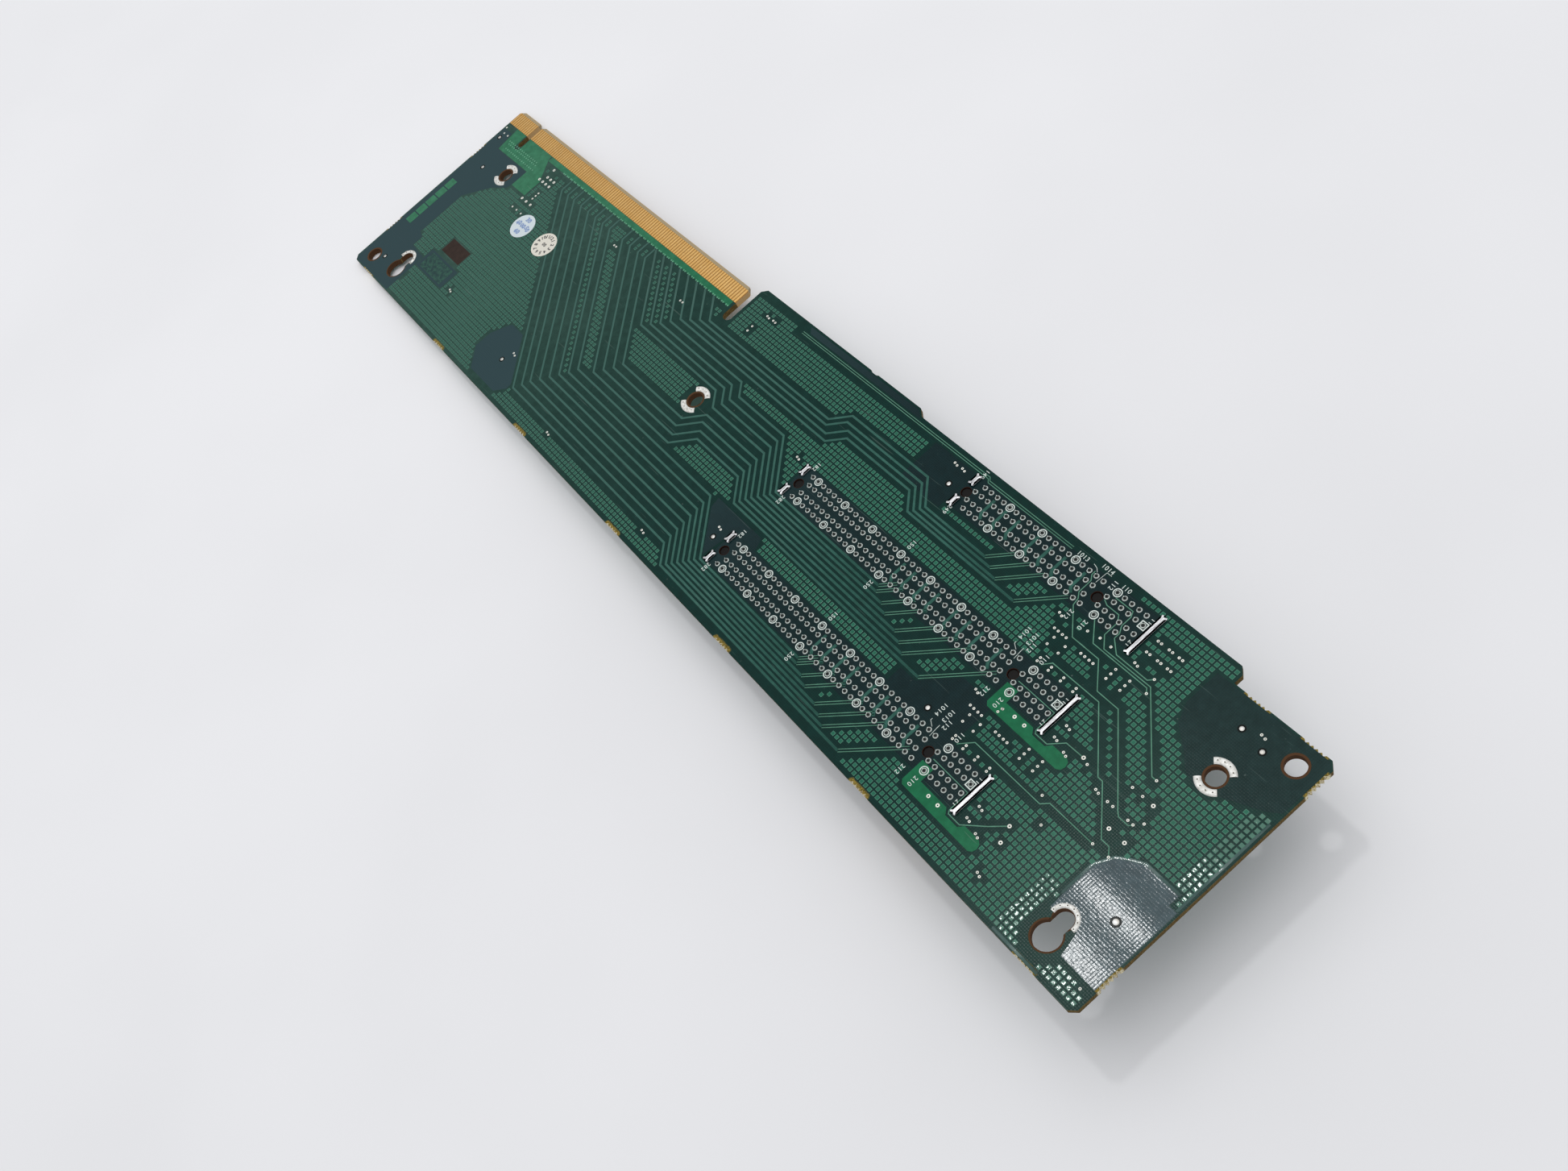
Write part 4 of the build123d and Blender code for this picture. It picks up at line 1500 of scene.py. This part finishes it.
def number_places():
    """Text, place and turn of each plain number printed beside the contacts."""
    numbers = []
    for middle, count in zip(SLOT_MIDDLES, SLOT_COUNTS):
        crowded = count < 50
        for row, side in (("1", 1), ("2", -1)):
            numbers.append((row + "1", 0.75, middle + side * 3.1 - 0.2))
            numbers.append((row + str(count), contact_x(count) - 1.7, middle + side * 5.6))
            if not crowded:
                numbers.append((row + "50", contact_x(50), middle + side * 6.4))
            if side < 0 or not crowded:
                numbers.append((row + "10", -9.1, middle + side * 6.3))
                numbers.append((row + "12", -13.0, middle + side * 6.4))
        if not crowded:
            numbers.append(("1013", -14.3, middle + 7.9))
            numbers.append(("1014", -16.5, middle + 7.9))
    numbers.append(("112", -10.9, SLOT_MIDDLES[2] + 3.9))
    places = [(*number, -90.0) for number in numbers]
    # Beside the board's edge the numbers of slot 3 run along it
    for body, x, up in (("110", -8.2, 4.9), ("1014", -14.3, 5.8), ("1013", -20.4, 4.8)):
        places.append((body, x, SLOT_MIDDLES[2] + up, 0.0))
    return places


def leader_routes():
    """Thin lines that lead from the numbers to their contacts."""
    routes = []
    for middle in SLOT_MIDDLES[:2]:
        routes.append([(-14.1, middle + 5.4), (-14.1, middle + 4.6), (-13.9, middle + 2.4)])
        routes.append([(-16.4, middle + 5.4), (-16.4, middle + 4.9), (-15.1, middle + 4.1)])
    routes.append([(-12.6, 47.6), (-13.9, 47.6), (-14.1, 44.6)])
    routes.append([(-17.4, 47.4), (-16.3, 47.1), (-15.5, 46.4)])
    return routes


class RISER_OT_print(bpy.types.Operator):
    """Adds the white print: rings, squares and plain numbers"""

    bl_idname = "riser.print"
    bl_label = "Print"

    def execute(self, context):
        sizes = context.scene.riser_sizes
        colours = context.scene.riser_colours
        ink = ink_material("white_ink", tuple(colours.ink))
        hoop = ring(*PRINTED_CIRCLE, sizes.print_rise, 20)
        spots = [
            (contact_x(number), middle + side * OUTER_ROW)
            for middle, count in zip(SLOT_MIDDLES, SLOT_COUNTS)
            for number in range(10, count + 1, 10)
            for side in (1, -1)
        ]
        finish(spread(hoop, spots), "printed_circles", ink, smooth=30)
        outline = ring(*PRINTED_SQUARE, sizes.print_rise, 4)
        places = [
            (plan(0.0, middle + INNER_ROW), math.radians(45.0)) for middle in SLOT_MIDDLES
        ]
        finish(scatter(outline, places), "printed_squares", ink)
        height = sizes.digit_height
        entries = [(body, x, y, turn, height) for body, x, y, turn in number_places()]
        finish(printed_numbers(entries, TOP, sizes.print_rise), "printed_numbers", ink)
        lines = strips(leader_routes(), flat_profile(LEADER_WIDTH, sizes.print_rise), TOP)
        finish(lines, "printed_leaders", ink)
        return {"FINISHED"}


def printed_numbers(entries, level, rise, weight=0.0):
    """Raised plain numbers, each given as text, place, turn in degrees and height."""
    texts = []
    for body, x, y, turn, height in entries:
        start_clean()
        bpy.ops.object.text_add(location=(0, 0, 0))
        text = bpy.context.object
        text.data.body = body
        text.data.size = 1.35 * height
        text.data.align_x = "CENTER"
        text.data.align_y = "CENTER"
        text.data.extrude = rise / 2
        text.data.space_character = 1.12
        text.data.offset = weight * height
        text.data.resolution_u = 3
        pick([text])
        bpy.ops.object.convert(target="MESH")
        text = bpy.context.object
        text.location = plan(x, y, level + rise / 2)
        text.rotation_euler = (0, 0, math.radians(turn))
        texts.append(text)
    return merge(texts)


JOINT_RADIUS = 0.62 * MM
PIN_SIZE = (0.3 * MM, 0.26 * MM, 0.78 * MM)


def solder_joint():
    """One pin's joint: a ring of solder round a square pin with a cut tip."""
    piece = disc(JOINT_RADIUS, 0.04 * MM, 12)
    choose_top(piece)
    for inset, rise in ((0.07, 0.12), (0.09, 0.04), (0.08, -0.09)):
        bpy.ops.mesh.inset(thickness=inset * MM)
        bpy.ops.transform.translate(value=(0, 0, rise * MM))
    leave()
    start_clean()
    bpy.ops.mesh.primitive_cube_add(size=1.0, location=(-0.05 * MM, 0, 0.46 * MM))
    pin = bpy.context.object
    edit(pin)
    bpy.ops.transform.resize(value=PIN_SIZE)
    choose_top(pin)
    bpy.ops.transform.translate(value=(-0.08 * MM, 0, 0))
    bpy.ops.transform.resize(value=(0.75, 0.75, 1.0))
    leave()
    settle(pin)
    return merge([piece, pin])


class RISER_OT_joints(bpy.types.Operator):
    """Replaces the solder joints of each slot by filleted rings round their pins"""

    bl_idname = "riser.joints"
    bl_label = "Solder joints"

    def execute(self, context):
        solder = joint_material()
        for slot, (middle, count) in enumerate(zip(SLOT_MIDDLES, SLOT_COUNTS), start=1):
            places = []
            for number in range(1, count + 1):
                row = OUTER_ROW if number % 2 == 0 else INNER_ROW
                for side in (1, -1):
                    turn = math.radians(12.0 * math.sin(7.3 * number + 2.1 * side + slot))
                    places.append((plan(contact_x(number), middle + side * row), turn))
            piece = scatter(solder_joint(), places)
            node = "slot_%d_solder_joints" % slot
            finish(piece, "slot_%d_pin_joints" % slot, solder, 40, [node])
        return {"FINISHED"}


BEAD_HEIGHT = 0.45 * MM
LONG_BEAD = (1.25 * MM, 10.4 * MM)
SHORT_BEAD = (1.4 * MM, 2.8 * MM)
LONG_BAR_X = 1.95


def bead(width, length, height):
    """A solder bar: a rounded bead with ends slightly flared."""
    start_clean()
    bpy.ops.mesh.primitive_cube_add(size=1.0, location=(0, 0, height / 2))
    piece = bpy.context.object
    edit(piece)
    bpy.ops.transform.resize(value=(width, length, height))
    leave()
    settle(piece)
    edit(piece)
    # Two cuts near each end leave a short flare there
    for cut in (-0.42, -0.34, 0.34, 0.42):
        bpy.ops.mesh.select_all(action="SELECT")
        bpy.ops.mesh.bisect(plane_co=(0, cut * length, 0), plane_no=(0, 1, 0))
    choose_faces(piece, lambda middle, normal: abs(middle.y) < 0.38 * length)
    bpy.ops.transform.resize(value=(0.95, 1.0, 1.0))
    choose_top(piece)
    bpy.ops.mesh.inset(thickness=width * 0.1)
    choose_top(piece)
    bpy.ops.mesh.bevel(offset=width * 0.2, segments=3, affect="EDGES")
    leave()
    return piece


class RISER_OT_bars(bpy.types.Operator):
    """Replaces the solder bars by rounded beads"""

    bl_idname = "riser.bars"
    bl_label = "Solder bars"

    def execute(self, context):
        solder = streaked_solder("bar_solder", linear(222, 222, 224))
        for slot, (middle, count) in enumerate(zip(SLOT_MIDDLES, SLOT_COUNTS), start=1):
            end = contact_x(count) - SHORT_BAR_OFFSETS[slot - 1]
            pieces = []
            for shape, x, y in (
                (LONG_BEAD, LONG_BAR_X, middle),
                (SHORT_BEAD, end, middle + OUTER_ROW),
                (SHORT_BEAD, end, middle - OUTER_ROW),
            ):
                bar = bead(*shape, BEAD_HEIGHT)
                bar.location = plan(x, y)
                pieces.append(bar)
            node = "slot_%d_solder_bars" % slot
            finish(merge(pieces), "slot_%d_bar_beads" % slot, solder, 40, [node])
        return {"FINISHED"}


def bead_band(routes, width, dimples):
    """Rounded bands of solder on both faces, with small craters along them."""
    section = crown_profile(width, 0.24 * MM)
    top = strips(routes, section, TOP)
    under = strips(routes, [(across, -up) for across, up in section], UNDER)
    crater = ring(0.34 * MM, 0.17 * MM, 0.1 * MM, 10)
    craters = spread(crater, dimples, TOP + 0.18 * MM)
    return merge([top, under, craters])


# Middle radius and width of the soldered band round each kind of hole
SCREW_BAND = (3.2, 1.45 * MM)
NECK_BAND = (2.62, 1.0 * MM)


class RISER_OT_pads(bpy.types.Operator):
    """Replaces the bare pads round the holes by rounded, cratered solder"""

    bl_idname = "riser.pads"
    bl_label = "Hole pads"

    def execute(self, context):
        bright = linear(226, 226, 222)
        stain = linear(150, 144, 130)
        solder = metal_material("pad_solder", bright, stain, 0.36, 1.6, 0.06, 0.4)
        pits = []
        reach, width = SCREW_BAND
        for name, (x, y) in SCREW_HOLES.items():
            routes = [arc(x, y, reach, middle - 49, middle + 49, 12) for middle in (90, -90)]
            dimples = [
                dimple for middle in (90, -90)
                for dimple in arc(x, y, reach, middle - 36, middle + 36, 3)
            ]
            pits += dimples
            node = "%s_screw_hole_pads" % name
            band = bead_band(routes, width, dimples)
            finish(band, "%s_crescents" % name, solder, 40, [node])
        reach, width = NECK_BAND
        for name, (x, y) in KEYHOLE_NECKS.items():
            dimples = arc(x, y, reach, 0, 180, 6)
            pits += dimples
            node = "%s_keyhole_pads" % name
            band = bead_band([arc(x, y, reach, -8, 188, 20)], width, dimples)
            finish(band, "%s_neck_band" % name, solder, 40, [node])
        # Painted shade: a dull dark disc lies in the crater of every pad
        darker_crater_shade = linear(70, 64, 52)
        dull = metal_material("crater_painted_shade", linear(104, 100, 88), darker_crater_shade, 0.5, 2.0, 0.02, 0.1)
        floors = spread(button(0.18 * MM, 0.06 * MM, 8, 1), pits, TOP + 0.2 * MM)
        finish(floors, "pad_craters", dull, 40)
        return {"FINISHED"}


class RISER_OT_fingers(bpy.types.Operator):
    """Gives the edge fingers their worn gold"""

    bl_idname = "riser.fingers"
    bl_label = "Edge fingers"

    def execute(self, context):
        gold = gold_material(context.scene.riser_colours)
        for side in ("solder", "component"):
            repaint("edge_fingers_%s_side" % side, gold)
        return {"FINISHED"}


CREAM_DIGITS = 1.1 * MM
WHITE_DIGITS = 1.45 * MM


class RISER_OT_stickers(bpy.types.Operator):
    """Gives the two round stickers their paper and marks"""

    bl_idname = "riser.stickers"
    bl_label = "Stickers"

    def execute(self, context):
        colours = context.scene.riser_colours
        (white_x, white_y), (cream_x, cream_y) = STICKERS["white"], STICKERS["cream"]
        smudges = (
            (white_x, white_y, 1.4, 0.9, 0.45),
            (white_x, white_y + 2.4, 1.5, 0.9, 0.4),
            (white_x, white_y - 2.4, 1.6, 1.0, 0.4),
            (white_x - 2.4, white_y + 0.3, 0.9, 1.2, 0.35),
            (white_x + 2.4, white_y + 0.3, 0.9, 1.2, 0.35),
        )
        white = paper_material("white_paper", tuple(colours.white_paper), smudges)
        repaint("white_sticker", white)
        repaint("cream_sticker", paper_material("cream_paper", tuple(colours.cream_paper), ()))
        # Plain numbers, set out as on a dial
        dial = []
        for hour in range(1, 13):
            turn = 90.0 - 30.0 * hour
            x, y = arc(cream_x, cream_y, 2.75, turn, turn, 1)[0]
            dial.append((str(hour), x, y, turn - 90.0, CREAM_DIGITS))
        dial.append(("00", cream_x, cream_y, 0.0, CREAM_DIGITS))
        black = ink_material("dark_ink", tuple(colours.marks), linear(110, 108, 104))
        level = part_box("cream_sticker")[1].z
        finish(printed_numbers(dial, level, SKIN, 0.05), "cream_dial", black)
        faint = [
            (body, white_x + across, white_y + up, turn, WHITE_DIGITS)
            for body, across, up, turn in (
                ("30", 0.0, 2.3, 0.0), ("60", 0.0, -2.3, 0.0), ("40", -2.3, 0.0, 20.0),
                ("50", 2.3, 0.0, -20.0), ("00", 0.0, 0.0, 0.0),
            )
        ]
        blue = ink_material("pale_ink", tuple(colours.pale_marks), linear(196, 208, 222))
        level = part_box("white_sticker")[1].z
        finish(printed_numbers(faint, level, SKIN, 0.06), "white_dial", blue)
        return {"FINISHED"}


class RISER_OT_connectors(bpy.types.Operator):
    """Finishes the slot housings, contacts and capacitors under the board"""

    bl_idname = "riser.connectors"
    bl_label = "Connectors"

    def execute(self, context):
        colours = context.scene.riser_colours
        plastic = plastic_material("housing_plastic", tuple(colours.plastic))
        stain = linear(170, 130, 70)
        spring = metal_material("contact_gold", linear(214, 172, 104), stain, 0.25, 1.2, 0.01)
        finishes = {
            "housing": plastic,
            "contacts_a": spring,
            "contacts_b": spring,
            "bulk_capacitor": plastic_material("capacitor_resin", linear(196, 150, 60)),
            "ceramic_capacitor": plastic_material("capacitor_ceramic", linear(150, 120, 84)),
        }
        for slot in (1, 2, 3):
            for part, material in finishes.items():
                repaint("slot_%d_%s" % (slot, part), material)
        return {"FINISHED"}


# Stage


# Where the slots' far mouths and the board's left end touch the floor
FLOOR_NEAR = 23.3 * MM
FLOOR_FAR = -155.0 * MM
FLOOR_SIZE = 6.0

# Each lamp's place, target, width and power
LAMPS = {
    "key_lamp": ((-0.255, 0.09, 1.139), (0.147, -0.019, 0.013), 0.07, 1.3),
    "soft_lamp": ((-0.25, 0.12, 1.2), (0.0, 0.0, 0.0), 1.3, 6.5),
}
ROOM_COLOUR = (0.97, 0.98, 1.0, 1.0)
ROOM_STRENGTH = 0.66

CAMERA_PLACE = (0.24077, -0.04471, 0.27493)
CAMERA_RIGHT = Vector((0.55836, 0.74104, -0.37295))
CAMERA_DOWN = Vector((0.57015, -0.66934, -0.47636))
CAMERA_AHEAD = Vector((-0.60263, 0.05334, -0.79624))
PHOTO_WIDTH = 1946
SENSOR = 36.0
FOCAL_PIXELS = 1861.85
AXIS_LEFT = 51.0
AXIS_DOWN = 39.9


def floor_material(colours):
    """Pale matt floor, clear from below so that the room's light comes up through it."""
    material = bpy.data.materials.new("pale_floor")
    material.use_nodes = True
    tree = material.node_tree
    shader = tree.nodes["Principled BSDF"]
    cloud = noise(tree, put(tree, "TexCoord").outputs["Object"], 9.0, 3.0, 0.5)
    dim = tuple(0.965 * c for c in colours.floor[:3]) + (1.0,)
    tone = blend(tree, between(tree, cloud, 0.3, 0.7), tuple(colours.floor), dim)
    dress(tree, shader, tone, 0.7, gloss=0.2)
    behind = put(tree, "NewGeometry").outputs["Backfacing"]
    scattered = put(tree, "LightPath").outputs["Is Diffuse Ray"]
    clear = put(tree, "BsdfTransparent").outputs[0]
    passing = highest(tree, [behind, scattered])
    either = put(tree, "MixShader", {0: passing, 1: shader.outputs[0], 2: clear})
    tree.links.new(either.outputs[0], tree.nodes["Material Output"].inputs["Surface"])
    return material


def add_lamp(name, place, target, width, power):
    data = bpy.data.lights.new(name, "AREA")
    data.shape = "SQUARE"
    data.size = width
    data.energy = power
    lamp = add_object(name, data)
    lamp.location = place
    aim = Vector(target) - Vector(place)
    lamp.rotation_euler = aim.to_track_quat("-Z", "Y").to_euler()


def add_camera():
    data = bpy.data.cameras.new("photo_camera")
    data.sensor_width = SENSOR
    data.sensor_fit = "HORIZONTAL"
    data.lens = FOCAL_PIXELS * SENSOR / PHOTO_WIDTH
    data.shift_x = AXIS_LEFT / PHOTO_WIDTH
    data.shift_y = AXIS_DOWN / PHOTO_WIDTH
    data.clip_start = 0.01
    camera = add_object("photo_camera", data)
    turn = Matrix((CAMERA_RIGHT, -CAMERA_DOWN, -CAMERA_AHEAD)).transposed()
    camera.matrix_world = Matrix.Translation(CAMERA_PLACE) @ turn.to_4x4()
    bpy.context.scene.camera = camera


class RISER_OT_stage(bpy.types.Operator):
    """Adds the pale floor, the lamps and the camera"""

    bl_idname = "riser.stage"
    bl_label = "Stage"

    def execute(self, context):
        slope = math.atan2(UNDER, FLOOR_NEAR - FLOOR_FAR)
        start_clean()
        bpy.ops.mesh.primitive_plane_add(
            size=FLOOR_SIZE, location=(FLOOR_NEAR, 0, -0.05 * MM), rotation=(0, slope, 0)
        )
        floor = bpy.context.object
        settle(floor)
        floor.name = "floor"
        floor.data.materials.append(floor_material(context.scene.riser_colours))
        world = bpy.data.worlds.new("soft_room")
        bpy.context.scene.world = world
        world.use_nodes = True
        background = world.node_tree.nodes["Background"]
        background.inputs["Color"].default_value = ROOM_COLOUR
        background.inputs["Strength"].default_value = ROOM_STRENGTH
        for name, settings in LAMPS.items():
            add_lamp(name, *settings)
        add_camera()
        bpy.context.scene.view_settings.view_transform = "Standard"
        return {"FINISHED"}


class RISER_PT_panel(bpy.types.Panel):
    """Lists the riser card's pieces, sizes and colours"""

    bl_idname = "RISER_PT_panel"
    bl_label = "Riser card"
    bl_space_type = "VIEW_3D"
    bl_region_type = "UI"
    bl_category = "Riser card"

    def draw(self, context):
        for operator in PIECES:
            self.layout.operator(operator.bl_idname)
        for group in (context.scene.riser_sizes, context.scene.riser_colours):
            for name in group.__annotations__:
                self.layout.prop(group, name)


PIECES = (
    RISER_OT_board,
    RISER_OT_dark_zones,
    RISER_OT_planes,
    RISER_OT_traces,
    RISER_OT_squares,
    RISER_OT_vias,
    RISER_OT_print,
    RISER_OT_joints,
    RISER_OT_bars,
    RISER_OT_pads,
    RISER_OT_fingers,
    RISER_OT_stickers,
    RISER_OT_connectors,
    RISER_OT_stage,
)


def register():
    for each in (RiserSizes, RiserColours) + PIECES + (RISER_PT_panel,):
        bpy.utils.register_class(each)
    bpy.types.Scene.riser_sizes = bpy.props.PointerProperty(type=RiserSizes)
    bpy.types.Scene.riser_colours = bpy.props.PointerProperty(type=RiserColours)


def unregister():
    del bpy.types.Scene.riser_colours
    del bpy.types.Scene.riser_sizes
    for each in reversed((RiserSizes, RiserColours) + PIECES + (RISER_PT_panel,)):
        bpy.utils.unregister_class(each)


def main():
    register()
    make_groups()
    for operator in PIECES:
        group, name = operator.bl_idname.split(".")
        getattr(getattr(bpy.ops, group), name)()


if __name__ == "__main__":
    main()
